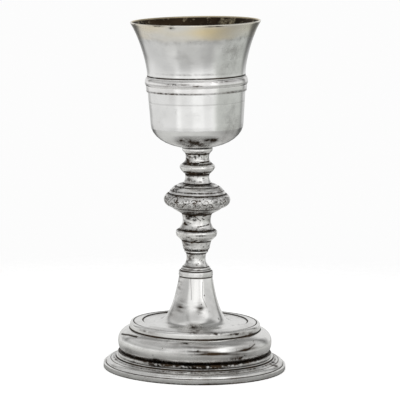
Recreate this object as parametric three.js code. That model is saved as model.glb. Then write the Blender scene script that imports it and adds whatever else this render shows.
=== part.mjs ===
// A silver chalice on a turned stem and a stepped round foot, in millimetres, +Z up.
// The origin is the middle of the foot's underside. Every piece is turned: its outline is drawn on one
// side of the axis, moulding by moulding from the underside up, and spun. The stem bends a little to -X
// above the knop and the cup leans a little more, as the worn chalice does.
import * as THREE from 'three';

// Facets around the wide pieces, the knop and the slim pieces
const WIDE_SIDES = 36;
const KNOP_SIDES = 28;
const SLIM_SIDES = 22;

// Clearance between the pieces above the knop, and their bends in degrees towards -X
const SEAM = 0.3;
const NECK_LEAN = 0.6;
const CUP_LEAN = 1.2;

// Colour and roughness of each silver
const FLANGE_SILVER = [0xb4b4b2, 0.3];
const FOOT_SILVER = [0xbdbdba, 0.28];
const STEM_SILVER = [0xaaa7a0, 0.32];
const KNOP_SILVER = [0x9f9d98, 0.36];
const CUP_SILVER = [0xc6c6c3, 0.24];
const BAND_SILVER = [0xd2d2d0, 0.22];

// The ring where the foot's cushion sits on its flange: both pieces take their widths from it
const CUSHION_SEAT_RADIUS = 49.6;

// Foot flange: the thin stepped base that stands on the table, its widths from the seat outwards
const FLANGE_LAP = 1.1;
const FLANGE_BEAD_WIDTH = 2.8;
const FLANGE_FILLET_WIDTH = 1.9;
const FLANGE_COVE_WIDTH = 4.3;
const FLANGE_OVOLO_WIDTH = 2.7;
const FLANGE_BED_WIDTH = 6;
const FLANGE_EDGE_ROUND = 0.4;
const FLANGE_EDGE_HEIGHT = 3.5;
const FLANGE_RIM_WIDTH = 1.3;
const FLANGE_GROOVE = 0.4;
const FLANGE_OVOLO_RISE = 2.6;
const FLANGE_COVE_RISE = 2.1;
const FLANGE_COVE_DEPTH = 0.4;
const FLANGE_FILLET_RISE = 0.7;
const FLANGE_BEAD_RISE = 2.6;
const FLANGE_BEAD_BULGE = 1;
const FLANGE_WALL = 1.5;

// Foot: cushion moulding, raised disc with a sunk dish, and the trumpet that carries the stem
const FOOT_WALL = 1.4;
const CUSHION_OVERHANG = 3.6;
const CUSHION_TOP_WIDTH = 8.1;
const CUSHION_LOWER_RISE = 7.6;
const CUSHION_UPPER_RISE = 8.2;
const DISC_EDGE_RISE = 2.8;
const DISC_ROUND_WIDTH = 1.9;
const DISC_ROUND_RISE = 2.1;
const DISC_LINE_DEPTH = 0.3;
const BORDER_WIDTH = 6;
const BORDER_RISE = 1.2;
const DISH_DEPTH = 0.8;
const TRUMPET_FOOT_RADIUS = 26;
const TRUMPET_RISE = 31.9;
const TRUMPET_FLARE = 7;
const TRUMPET_TAPER = 3;
const TRUMPET_TAPER_RISE = 18;
const FOOT_RING_RADIUS = 11.8;
const FOOT_RING_GROOVE = 0.35;
const FOOT_RING_RISE = 2.65;
const FOOT_RING_ROUND = 0.9;
const FOOT_RING_SHOULDER = 1.1;

// The stem's flares: how far the lower arm reaches in and up and the upper arm down, as shares of the flare
const FLARE_IN = 0.4;
const FLARE_UP = 0.2;
const FLARE_DOWN = 0.45;

// Lower stem: stepped seat, slim waist, vase, ring and neck
const SEAT_RADIUS = FOOT_RING_RADIUS - FOOT_RING_SHOULDER;
const SEAT_RISE = 1;
const SEAT_STEP = 0.5;
const SEAT_UPPER_RISE = 1.4;
const SEAT_LEDGE = 0.6;
const WAIST_RADIUS = 6.5;
const WAIST_LOWER_RISE = 6;
const WAIST_UPPER_RISE = 4.2;
const VASE_FILLET_RADIUS = 8.2;
const VASE_FILLET_RISE = 1.6;
const VASE_RADIUS = 9.35;
const VASE_LOWER_RISE = 2.4;
const VASE_UPPER_RISE = 4;
const RING_UNDER_RADIUS = 10.3;
const RING_RADIUS = 14.3;
const RING_SLOPE_RISE = 3.2;
const RING_SLOPE_RADIUS = 13.7;
const RING_EDGE_RISE = 2.4;
const RING_TOP_RADIUS = 13;
const RING_TOP_RISE = 1.8;
const NECK_FOOT_RADIUS = 12.7;
const NECK_RADIUS = 9.65;
const NECK_LOWER_RISE = 7;
const NECK_UPPER_RISE = 4.9;

// Knop: stepped shoulders over a broad round band, fuller above than below
const KNOP_SEAT_RADIUS = 11.5;
const KNOP_UNDER_RADIUS = 15.8;
const KNOP_UNDER_RISE = 2.4;
const KNOP_UNDER_FILLET_RISE = 1.6;
const KNOP_LINE_DEPTH = 0.4;
const KNOP_BAND_FOOT_RADIUS = 18;
const KNOP_BAND_RADIUS = 20.4;
const KNOP_BAND_RISE = 9.3;
const KNOP_BAND_LOWER_OUT = 5.5;
const KNOP_BAND_LOWER_UP = 1.6;
const KNOP_BAND_UPPER_OUT = 3.9;
const KNOP_BAND_UPPER_UP = 2.7;
const KNOP_FILLET_FOOT_RADIUS = 20;
const KNOP_FILLET_RADIUS = 18.5;
const KNOP_FILLET_RISE = 2.2;
const KNOP_STEP_RADIUS = 14.9;
const KNOP_STEP_RISE = 2.8;
const KNOP_STEP_BULGE = 0.5;
const KNOP_COLLAR_RADIUS = 12;
const KNOP_COLLAR_RISE = 1.5;
const KNOP_COLLAR_BULGE = 0.35;
const KNOP_TOP_RADIUS = 11.2;
const KNOP_TOP_RISE = 0.4;

// Upper stem: neck, ring, throat and the collar under the cup
const UPPER_SEAT_RADIUS = 9.9;
const UPPER_NECK_RADIUS = 8.2;
const UPPER_NECK_LOWER_RISE = 4.7;
const UPPER_NECK_UPPER_RISE = 2.5;
const UPPER_FILLET_RADIUS = 9.7;
const UPPER_FILLET_RISE = 1;
const UPPER_RING_UNDER_RADIUS = 10.4;
const UPPER_RING_RADIUS = 12.2;
const UPPER_RING_LOWER_RISE = 3;
const UPPER_RING_SWELL = 0.2;
const UPPER_RING_UPPER_RISE = 2.1;
const LEDGE_RADIUS = 10.1;
const LEDGE_RISE = 0.6;
const THROAT_FOOT_RADIUS = 9.8;
const THROAT_RADIUS = 8;
const THROAT_LOWER_RISE = 4;
const THROAT_UPPER_RISE = 3.4;
const COLLAR_UNDER_RADIUS = 9.2;
const COLLAR_RADIUS = 10.5;
const COLLAR_RISE = 1.4;
const COLLAR_SLOPE_RISE = 1.7;

// Cup: rounded bottom, gently widening wall and flared lip, with true walls
const CUP_WALL = 1.2;
const CUP_SEAT_RADIUS = 5;
const CUP_BOWL_RADIUS = 31.9;
const CUP_BOWL_RISE = 17;
const CUP_WAIST_RADIUS = 33.7;
const CUP_SIDE_RISE = 34;
const CUP_SIDE_BULGE = 0.45;
const CUP_LIP_RADIUS = 44.6;
const CUP_FLARE_RISE = 35;
const CUP_FLARE_START = 6;
const CUP_LIP_SPREAD = 6.6;
const CUP_LIP_DROP = 10.6;

// Moulded band round the cup: a flat strip over a round bead
const BAND_HEIGHT = 39.6;
const BAND_FOOT = 0.25;
const BAND_BEAD_RISE = 5.4;
const BAND_BEAD_BULGE = 1;
const BAND_BEAD_TOP = 0.5;
const BAND_STRIP_RISE = 4.3;
const BAND_STRIP_FOOT = 0.7;
const BAND_STRIP_TOP = 0.3;

/** A turned outline: radius from the axis and height, one moulding after another. */
class Outline {
  constructor(radius, height = 0) {
    this.points = [new THREE.Vector2(radius, height)];
  }

  get end() {
    return this.points[this.points.length - 1];
  }

  /** A straight run to a radius, rising by a height. */
  line(radius, rise = 0) {
    this.points.push(new THREE.Vector2(radius, this.end.y + rise));
    return this;
  }

  /** A quarter round that leaves the last point level and arrives upright. */
  turnUp(radius, rise, steps) {
    const { x, y } = this.end;
    for (let i = 1; i <= steps; i += 1) {
      const t = (i / steps) * (Math.PI / 2);
      const across = x + (radius - x) * Math.sin(t);
      this.points.push(new THREE.Vector2(across, y + rise * (1 - Math.cos(t))));
    }
    return this;
  }

  /** A quarter round that leaves the last point upright and arrives level. */
  turnIn(radius, rise, steps) {
    const { x, y } = this.end;
    for (let i = 1; i <= steps; i += 1) {
      const t = (i / steps) * (Math.PI / 2);
      const across = radius + (x - radius) * Math.cos(t);
      this.points.push(new THREE.Vector2(across, y + rise * Math.sin(t)));
    }
    return this;
  }

  /** A straight run with a rounded swelling over it, or a cove where the bulge is negative. */
  bead(radius, rise, bulge, steps) {
    const from = this.end;
    const to = new THREE.Vector2(radius, from.y + rise);
    const out = new THREE.Vector2(to.y - from.y, from.x - to.x).normalize();
    for (let i = 1; i <= steps; i += 1) {
      const t = (i / steps) * Math.PI;
      const point = from.clone().lerp(to, (1 - Math.cos(t)) / 2);
      this.points.push(point.addScaledVector(out, bulge * Math.sin(t)));
    }
    return this;
  }

  /** A smooth sweep that starts along one arm, [out, up] in size, and ends along another. */
  sweep(radius, rise, leave, arrive, steps) {
    const from = this.end;
    const to = new THREE.Vector2(radius, from.y + rise);
    const start = new THREE.Vector2(from.x + leave[0], from.y + leave[1]);
    const finish = new THREE.Vector2(to.x - arrive[0], to.y - arrive[1]);
    const curve = new THREE.CubicBezierCurve(from, start, finish, to);
    this.points.push(...curve.getPoints(steps).slice(1));
    return this;
  }

  /** A hollow flare that leaves sloping inwards and arrives upright. */
  flare(radius, rise, steps) {
    const leave = [(radius - this.end.x) * FLARE_IN, rise * FLARE_UP];
    return this.sweep(radius, rise, leave, [0, rise * FLARE_DOWN], steps);
  }
}

/** The inner face of a wall: the outer points moved square to their run, towards the axis. */
function innerFace(points, wall) {
  return points.map((point, i) => {
    const before = points[Math.max(i - 1, 0)];
    const after = points[Math.min(i + 1, points.length - 1)];
    const along = after.clone().sub(before).normalize();
    const across = point.x === 0 ? 0 : point.x - along.y * wall;
    return new THREE.Vector2(across, point.y + along.x * wall);
  });
}

/** The radius of an outline at a height, on its straight runs between points. */
function radiusAt(points, height) {
  const i = points.findIndex((point, k) => k > 0 && point.y >= height && points[k - 1].y < height);
  const [below, above] = [points[i - 1], points[i]];
  return THREE.MathUtils.mapLinear(height, below.y, above.y, below.x, above.x);
}

/** Spins an outline about +Z into a named mesh. */
function turned(name, points, sides, material) {
  const geometry = new THREE.LatheGeometry(points, sides);
  geometry.rotateX(Math.PI / 2);
  const mesh = new THREE.Mesh(geometry, material);
  mesh.name = name;
  return mesh;
}

/** A silver finish of its own for one piece. */
function silver(color, roughness) {
  return new THREE.MeshStandardMaterial({ color, roughness, metalness: 1 });
}

/** The flange stands on a flat ring and is hollow inside that ring. */
function flangeOutline() {
  const opening = CUSHION_SEAT_RADIUS - FLANGE_LAP;
  const bead = CUSHION_SEAT_RADIUS + FLANGE_BEAD_WIDTH;
  const cove = bead + FLANGE_FILLET_WIDTH;
  const ovolo = cove + FLANGE_COVE_WIDTH;
  const groove = ovolo + FLANGE_OVOLO_WIDTH;
  const rim = groove + FLANGE_GROOVE;
  const edge = rim + FLANGE_RIM_WIDTH;
  const bed = edge - FLANGE_BED_WIDTH;
  const outline = new Outline(bed)
    .line(edge - FLANGE_EDGE_ROUND)
    .turnUp(edge, FLANGE_EDGE_ROUND, 1)
    .line(edge, FLANGE_EDGE_HEIGHT - 2 * FLANGE_EDGE_ROUND)
    .turnIn(rim, FLANGE_EDGE_ROUND, 1)
    .line(groove, -FLANGE_GROOVE)
    .line(groove, FLANGE_GROOVE)
    .turnIn(ovolo, FLANGE_OVOLO_RISE, 2)
    .bead(cove, FLANGE_COVE_RISE, -FLANGE_COVE_DEPTH, 2)
    .line(cove, FLANGE_FILLET_RISE)
    .line(bead)
    .bead(bead, FLANGE_BEAD_RISE, FLANGE_BEAD_BULGE, 3)
    .line(opening);
  const top = outline.end.y;
  const points = outline
    .line(opening, -FLANGE_WALL)
    .line(bead - FLANGE_WALL)
    .line(bed, FLANGE_WALL - top).points;
  return { points, top };
}

/** The foot is a shell, open beneath, with a plain ceiling under its ring. */
function footOutline() {
  const cushion = CUSHION_SEAT_RADIUS + CUSHION_OVERHANG;
  const disc = cushion - CUSHION_TOP_WIDTH;
  const discLine = disc - DISC_ROUND_WIDTH;
  const border = discLine - DISC_LINE_DEPTH - BORDER_WIDTH;
  const discTop = CUSHION_LOWER_RISE + CUSHION_UPPER_RISE + DISC_EDGE_RISE + DISC_ROUND_RISE;
  const dish = discTop - DISC_LINE_DEPTH + BORDER_RISE - DISH_DEPTH;
  const inner = new Outline(CUSHION_SEAT_RADIUS - FOOT_WALL)
    .turnUp(cushion - FOOT_WALL, CUSHION_LOWER_RISE, 2)
    .turnIn(disc - FOOT_WALL, CUSHION_UPPER_RISE - FOOT_WALL, 2);
  inner
    .line(disc - FOOT_WALL, dish - FOOT_WALL - inner.end.y)
    .line(TRUMPET_FOOT_RADIUS - FOOT_WALL)
    .sweep(
      FOOT_RING_RADIUS - FOOT_WALL,
      TRUMPET_RISE,
      [-TRUMPET_FLARE, 0],
      [-TRUMPET_TAPER, TRUMPET_TAPER_RISE],
      4,
    )
    .line(0);
  const outer = new Outline(CUSHION_SEAT_RADIUS)
    .turnUp(cushion, CUSHION_LOWER_RISE, 3)
    .turnIn(disc, CUSHION_UPPER_RISE, 3)
    .line(disc, DISC_EDGE_RISE)
    .turnIn(discLine, DISC_ROUND_RISE, 2)
    .line(discLine - DISC_LINE_DEPTH, -DISC_LINE_DEPTH)
    .line(border, BORDER_RISE)
    .line(border - DISH_DEPTH / 2, -DISH_DEPTH)
    .line(TRUMPET_FOOT_RADIUS)
    .sweep(
      FOOT_RING_RADIUS - FOOT_RING_GROOVE,
      TRUMPET_RISE,
      [-TRUMPET_FLARE, 0],
      [-TRUMPET_TAPER, TRUMPET_TAPER_RISE],
      6,
    )
    .line(FOOT_RING_RADIUS, FOOT_RING_GROOVE)
    .line(FOOT_RING_RADIUS, FOOT_RING_RISE)
    .turnIn(SEAT_RADIUS, FOOT_RING_ROUND, 1)
    .line(0);
  return { points: [...inner.points.reverse(), ...outer.points], top: outer.end.y };
}

/** The lower stem is one casting, from the foot's ring to the knop. */
function lowerStemOutline() {
  const outline = new Outline(0)
    .line(SEAT_RADIUS)
    .line(SEAT_RADIUS - SEAT_STEP / 2, SEAT_RISE)
    .line(SEAT_RADIUS - SEAT_STEP, 0)
    .line(SEAT_RADIUS - 2 * SEAT_STEP, SEAT_UPPER_RISE)
    .line(SEAT_RADIUS - 2 * SEAT_STEP - SEAT_LEDGE, SEAT_STEP / 2)
    .flare(WAIST_RADIUS, WAIST_LOWER_RISE, 3)
    .turnIn(VASE_FILLET_RADIUS, WAIST_UPPER_RISE, 3)
    .line(VASE_FILLET_RADIUS, VASE_FILLET_RISE)
    .turnUp(VASE_RADIUS, VASE_LOWER_RISE, 2)
    .line(RING_UNDER_RADIUS, VASE_UPPER_RISE)
    .line(RING_SLOPE_RADIUS, RING_SLOPE_RISE)
    .line(RING_RADIUS, RING_EDGE_RISE)
    .turnIn(RING_TOP_RADIUS, RING_TOP_RISE, 2)
    .line(NECK_FOOT_RADIUS)
    .flare(NECK_RADIUS, NECK_LOWER_RISE, 3)
    .turnIn(KNOP_SEAT_RADIUS, NECK_UPPER_RISE, 3)
    .line(0);
  return { points: outline.points, top: outline.end.y };
}

/** The knop sits on the lower stem and carries the neck on its flat top. */
function knopOutline() {
  const outline = new Outline(0)
    .line(KNOP_SEAT_RADIUS)
    .line(KNOP_UNDER_RADIUS, KNOP_UNDER_RISE)
    .line(KNOP_BAND_FOOT_RADIUS - KNOP_LINE_DEPTH, KNOP_UNDER_FILLET_RISE)
    .line(KNOP_BAND_FOOT_RADIUS, 0)
    .sweep(
      KNOP_BAND_RADIUS,
      KNOP_BAND_RISE,
      [KNOP_BAND_LOWER_OUT, KNOP_BAND_LOWER_UP],
      [-KNOP_BAND_UPPER_OUT, KNOP_BAND_UPPER_UP],
      5,
    )
    .line(KNOP_FILLET_FOOT_RADIUS, 0)
    .line(KNOP_FILLET_RADIUS, KNOP_FILLET_RISE)
    .line(KNOP_FILLET_RADIUS - KNOP_LINE_DEPTH, 0)
    .bead(KNOP_STEP_RADIUS, KNOP_STEP_RISE, KNOP_STEP_BULGE, 3)
    .line(KNOP_STEP_RADIUS - KNOP_LINE_DEPTH, 0)
    .bead(KNOP_COLLAR_RADIUS, KNOP_COLLAR_RISE, KNOP_COLLAR_BULGE, 3)
    .line(KNOP_TOP_RADIUS, KNOP_TOP_RISE)
    .line(0);
  return { points: outline.points, top: outline.end.y };
}

/** The upper stem is one casting, from the knop to the collar under the cup. */
function upperStemOutline() {
  const outline = new Outline(0)
    .line(UPPER_SEAT_RADIUS)
    .flare(UPPER_NECK_RADIUS, UPPER_NECK_LOWER_RISE, 2)
    .turnIn(UPPER_FILLET_RADIUS, UPPER_NECK_UPPER_RISE, 2)
    .line(UPPER_FILLET_RADIUS, UPPER_FILLET_RISE)
    .line(UPPER_RING_UNDER_RADIUS, 0)
    .bead(UPPER_RING_RADIUS, UPPER_RING_LOWER_RISE, UPPER_RING_SWELL, 2)
    .turnIn(LEDGE_RADIUS, UPPER_RING_UPPER_RISE, 2)
    .line(LEDGE_RADIUS, LEDGE_RISE)
    .line(THROAT_FOOT_RADIUS)
    .flare(THROAT_RADIUS, THROAT_LOWER_RISE, 3)
    .turnIn(COLLAR_UNDER_RADIUS, THROAT_UPPER_RISE, 2)
    .line(COLLAR_RADIUS, COLLAR_SLOPE_RISE)
    .line(COLLAR_RADIUS, COLLAR_RISE)
    .line(0);
  return { points: outline.points, top: outline.end.y };
}

/** The cup's outer face, from the middle of its bottom to the lip. */
function cupFace() {
  return new Outline(0)
    .line(CUP_SEAT_RADIUS)
    .turnUp(CUP_BOWL_RADIUS, CUP_BOWL_RISE, 6)
    .bead(CUP_WAIST_RADIUS, CUP_SIDE_RISE, CUP_SIDE_BULGE, 2)
    .sweep(CUP_LIP_RADIUS, CUP_FLARE_RISE, [0, CUP_FLARE_START], [CUP_LIP_SPREAD, CUP_LIP_DROP], 6).points;
}

/** The cup's two faces joined by a rounded lip. */
function cupOutline(face) {
  const inner = innerFace(face, CUP_WALL).reverse();
  const lip = new Outline(CUP_LIP_RADIUS, face[face.length - 1].y);
  lip.bead(inner[0].x, inner[0].y - lip.end.y, CUP_WALL / 2, 2);
  return [...face, ...lip.points.slice(1, -1), ...inner];
}

/** The band follows the cup's face with a clearance and closes on itself. */
function bandOutline(face) {
  const grooveHeight = BAND_HEIGHT + BAND_BEAD_RISE;
  const topHeight = grooveHeight + BAND_STRIP_RISE;
  const [bottom, groove, top] = [BAND_HEIGHT, grooveHeight, topHeight].map(
    (height) => radiusAt(face, height) + SEAM,
  );
  return new Outline(bottom, BAND_HEIGHT)
    .line(bottom + BAND_FOOT)
    .bead(groove + BAND_BEAD_TOP, BAND_BEAD_RISE, BAND_BEAD_BULGE, 4)
    .line(groove + BAND_STRIP_FOOT)
    .line(top + BAND_STRIP_TOP, BAND_STRIP_RISE)
    .line(top)
    .line(bottom, BAND_HEIGHT - topHeight).points;
}

const flange = flangeOutline();
const foot = footOutline();
const lowerStem = lowerStemOutline();
const knop = knopOutline();
const upperStem = upperStemOutline();
const face = cupFace();

const chalice = new THREE.Group();
const flangeMesh = turned('foot_flange', flange.points, WIDE_SIDES, silver(...FLANGE_SILVER));
const footMesh = turned('foot', foot.points, WIDE_SIDES, silver(...FOOT_SILVER));
footMesh.position.z = flange.top;
const lowerStemMesh = turned('lower_stem', lowerStem.points, SLIM_SIDES, silver(...STEM_SILVER));
lowerStemMesh.position.z = footMesh.position.z + foot.top;
const knopMesh = turned('knop', knop.points, KNOP_SIDES, silver(...KNOP_SILVER));
knopMesh.position.z = lowerStemMesh.position.z + lowerStem.top;

// The neck bends at the knop's top, and the cup leans again at the collar.
const neck = new THREE.Group();
neck.position.z = knopMesh.position.z + knop.top + SEAM;
neck.rotation.y = -THREE.MathUtils.degToRad(NECK_LEAN);
neck.add(turned('upper_stem', upperStem.points, SLIM_SIDES, silver(...STEM_SILVER)));
const bowl = new THREE.Group();
bowl.position.z = upperStem.top + SEAM;
bowl.rotation.y = -THREE.MathUtils.degToRad(CUP_LEAN);
bowl.add(turned('cup', cupOutline(face), WIDE_SIDES, silver(...CUP_SILVER)));
bowl.add(turned('cup_band', bandOutline(face), WIDE_SIDES, silver(...BAND_SILVER)));
neck.add(bowl);
chalice.add(flangeMesh, footMesh, lowerStemMesh, knopMesh, neck);

export default chalice;
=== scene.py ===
"""Dresses the chalice's seven turned pieces as worn, part-tarnished silver and lights them in a plain studio.

Lengths in the piece classes are in millimetres, angles in degrees. An angle round the axis is 0 towards the
camera, which stands on -Y, and grows towards +X. Meshes are made in metres.
"""

import logging
import math
import random
from dataclasses import dataclass, field
from enum import Enum

import bmesh
import bpy
import numpy as np
from mathutils import Matrix, Vector, noise


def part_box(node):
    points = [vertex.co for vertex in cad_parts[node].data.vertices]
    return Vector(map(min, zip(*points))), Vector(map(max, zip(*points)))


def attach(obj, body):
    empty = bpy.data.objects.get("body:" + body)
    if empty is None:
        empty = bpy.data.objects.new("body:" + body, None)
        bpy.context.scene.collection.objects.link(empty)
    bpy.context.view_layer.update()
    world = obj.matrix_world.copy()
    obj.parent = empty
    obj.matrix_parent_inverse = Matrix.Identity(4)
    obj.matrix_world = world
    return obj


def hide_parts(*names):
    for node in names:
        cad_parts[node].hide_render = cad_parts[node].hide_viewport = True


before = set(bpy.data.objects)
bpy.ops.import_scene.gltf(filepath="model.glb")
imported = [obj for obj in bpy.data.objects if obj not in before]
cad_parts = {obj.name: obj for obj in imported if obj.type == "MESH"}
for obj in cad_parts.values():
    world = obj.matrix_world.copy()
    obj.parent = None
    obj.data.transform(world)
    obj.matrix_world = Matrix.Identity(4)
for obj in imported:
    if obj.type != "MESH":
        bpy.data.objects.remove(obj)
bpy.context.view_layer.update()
MM = 0.001
BODY = "root"
# A stain this wide goes all the way round
ALL_ROUND = 999.0
# Places closer than this many millimetres count as one
SAME_PLACE = 1e-6
# Keeps a division from having nothing below it
TINY = 1e-9
# Mesh points closer than this many metres are joined
WELD = 1e-7
# Patches nearer the axis than this many millimetres are measured as if they lay at this radius
LEAST_RADIUS = 1.0
log = logging.getLogger("chalice")

Color = tuple[float, float, float]


class Profile:
    """A turned outline in millimetres: radius from the axis and height, one moulding after another."""

    STEPS = 9
    FLARE_IN = 0.4
    FLARE_UP = 0.2
    FLARE_DOWN = 0.45
    # Turns of more degrees than this are rounded, over this share of the shorter side at most
    CORNER = 14
    CORNER_SHARE = 0.4
    CORNER_STEPS = (0.0, 0.3, 0.7, 1.0)

    def __init__(self, radius: float, height: float = 0.0) -> None:
        """Starts the outline.

        Args:
            radius: Distance from the axis.
            height: Height above the piece's own seat.
        """
        self.points: list[tuple[float, float]] = [(radius, height)]

    @property
    def end(self) -> tuple[float, float]:
        """The last point."""
        return self.points[-1]

    def line(self, radius: float, rise: float = 0.0) -> "Profile":
        """A straight run to a radius, rising by a height."""
        self.points.append((radius, self.end[1] + rise))
        return self

    def turn_up(self, radius: float, rise: float) -> "Profile":
        """A quarter round that leaves the last point level and arrives upright."""
        x, y = self.end
        for t in np.linspace(0, math.pi / 2, self.STEPS + 1)[1:]:
            self.points.append((x + (radius - x) * math.sin(t), y + rise * (1 - math.cos(t))))
        return self

    def turn_in(self, radius: float, rise: float) -> "Profile":
        """A quarter round that leaves the last point upright and arrives level."""
        x, y = self.end
        for t in np.linspace(0, math.pi / 2, self.STEPS + 1)[1:]:
            self.points.append((radius + (x - radius) * math.cos(t), y + rise * math.sin(t)))
        return self

    def bead(self, radius: float, rise: float, bulge: float) -> "Profile":
        """A straight run with a rounded swelling over it, or a cove where the bulge is negative."""
        x, y = self.end
        run = math.hypot(radius - x, rise)
        out = (rise / run, (x - radius) / run)
        for t in np.linspace(0, math.pi, 2 * self.STEPS + 1)[1:]:
            share = (1 - math.cos(t)) / 2
            swell = bulge * math.sin(t)
            self.points.append((x + (radius - x) * share + out[0] * swell, y + rise * share + out[1] * swell))
        return self

    def sweep(
        self, radius: float, rise: float, leave: tuple[float, float], arrive: tuple[float, float]
    ) -> "Profile":
        """A smooth sweep that starts along one arm and ends along another.

        Args:
            radius: Radius at its end.
            rise: Height that it gains.
            leave: The first arm, outward and upward.
            arrive: The last arm, outward and upward.

        Returns:
            The outline itself.
        """
        start = np.array(self.end)
        finish = np.array((radius, self.end[1] + rise))
        first, last = start + leave, finish - arrive
        for t in np.linspace(0, 1, 4 * self.STEPS + 1)[1:]:
            s = 1 - t
            p = s**3 * start + 3 * s * s * t * first + 3 * s * t * t * last + t**3 * finish
            self.points.append((float(p[0]), float(p[1])))
        return self

    def flare(self, radius: float, rise: float) -> "Profile":
        """A hollow flare that leaves sloping inwards and arrives upright."""
        leave = ((radius - self.end[0]) * self.FLARE_IN, rise * self.FLARE_UP)
        return self.sweep(radius, rise, leave, (0.0, rise * self.FLARE_DOWN))

    def finished(self, softness: float, spacing: float) -> np.ndarray:
        """Rounds the corners and splits the long runs, except those that end on the axis.

        Args:
            softness: How far a corner's rounding reaches along its sides.
            spacing: The longest run left whole.

        Returns:
            The outline's points, one row each.
        """
        points = [np.array(p) for p in self.points]
        soft = [points[0]]
        for before, here, after in zip(points, points[1:], points[2:]):
            a, b = before - here, after - here
            la, lb = np.linalg.norm(a), np.linalg.norm(b)
            if la < TINY or lb < TINY:
                continue
            turn = math.pi - math.acos(float(np.clip(a @ b / (la * lb), -1, 1)))
            if turn < math.radians(self.CORNER):
                soft.append(here)
                continue
            cut = min(softness, self.CORNER_SHARE * la, self.CORNER_SHARE * lb)
            p, q = here + a / la * cut, here + b / lb * cut
            for t in self.CORNER_STEPS:
                soft.append((1 - t) ** 2 * p + 2 * t * (1 - t) * here + t * t * q)
        soft.append(points[-1])
        spread = [soft[0]]
        for p in soft[1:]:
            start = spread[-1]
            run = float(np.linalg.norm(p - start))
            if run < SAME_PLACE:
                continue
            parts = 1 if min(p[0], start[0]) < SAME_PLACE else max(1, math.ceil(run / spacing))
            spread.extend(start + (p - start) * (k / parts) for k in range(1, parts + 1))
        return np.array(spread)


def ripple(angle: float, height: float, scale: float, seed: float) -> float:
    """Smooth noise on a turned surface, which closes on itself round the axis.

    Args:
        angle: Angle round the axis in radians.
        height: Height in millimetres.
        scale: Size of a wave in millimetres at a radius of 10 mm.
        seed: Shifts the pattern.

    Returns:
        A value from about -1 to 1.
    """
    reach = 10.0 / scale
    return noise.noise(Vector((math.cos(angle) * reach, math.sin(angle) * reach + seed, height / scale)))


def ripples(angles: np.ndarray, heights: np.ndarray, scale: float, seed: float) -> np.ndarray:
    """The same noise over a whole surface, one row for each height."""
    return np.array([[ripple(a, h, scale, seed) for a in angles] for h in heights])


def turned_from(angles: np.ndarray, middle: float) -> np.ndarray:
    """How far angles in radians lie from a middle in degrees, the shorter way round."""
    return (angles - math.radians(middle) + math.pi) % (2 * math.pi) - math.pi


@dataclass(frozen=True)
class Stain:
    """A dark patch: tarnish in most places, and painted shade or a painted dark reflection where noted; its
    middle, its half sizes and how dark it is.
    """

    angle: float
    height: float
    across: float
    rise: float
    strength: float


@dataclass(frozen=True)
class Dent:
    """A shallow knock in the metal: its middle, its half size and its depth."""

    angle: float
    height: float
    size: float
    depth: float


@dataclass(frozen=True)
class Stroke:
    """A line cut or chased into the metal, as points of angle and height."""

    points: tuple[tuple[float, float], ...]
    width: float
    depth: float


@dataclass(frozen=True)
class Specks:
    """Small dark pits and spots strewn at random over a stretch of a piece."""

    ACROSS = (0.25, 0.8)
    RISE = (0.2, 0.45)
    STRENGTH = (0.35, 1.0)

    count: int
    low: float
    high: float
    seed: int

    def strewn(self) -> tuple[Stain, ...]:
        """The specks, each with its own place, size and darkness."""
        chance = random.Random(self.seed)
        return tuple(
            Stain(
                chance.uniform(-180, 180), chance.uniform(self.low, self.high), chance.uniform(*self.ACROSS),
                chance.uniform(*self.RISE), chance.uniform(*self.STRENGTH),
            )
            for _ in range(self.count)
        )


def patches(
    stains_and_painted_shading: tuple[Stain, ...], angles: np.ndarray, radii: np.ndarray, heights: np.ndarray
) -> np.ndarray:
    """The tarnish patches, and the painted shade and painted reflections among them, added up at places on a
    turned surface.

    Args:
        stains_and_painted_shading: The patches.
        angles: Angles round the axis in radians.
        radii: Distances from the axis.
        heights: Heights above the piece's seat.

    Returns:
        How dark each place is, from 0 to 1.
    """
    total = np.zeros(np.broadcast(angles, radii, heights).shape)
    for mark in stains_and_painted_shading:
        across = turned_from(angles, mark.angle) * np.maximum(radii, LEAST_RADIUS) / mark.across
        rise = (heights - mark.height) / mark.rise
        total = total + mark.strength * np.exp(-(across**2 + rise**2))
    return np.clip(total, 0, 1)


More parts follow.
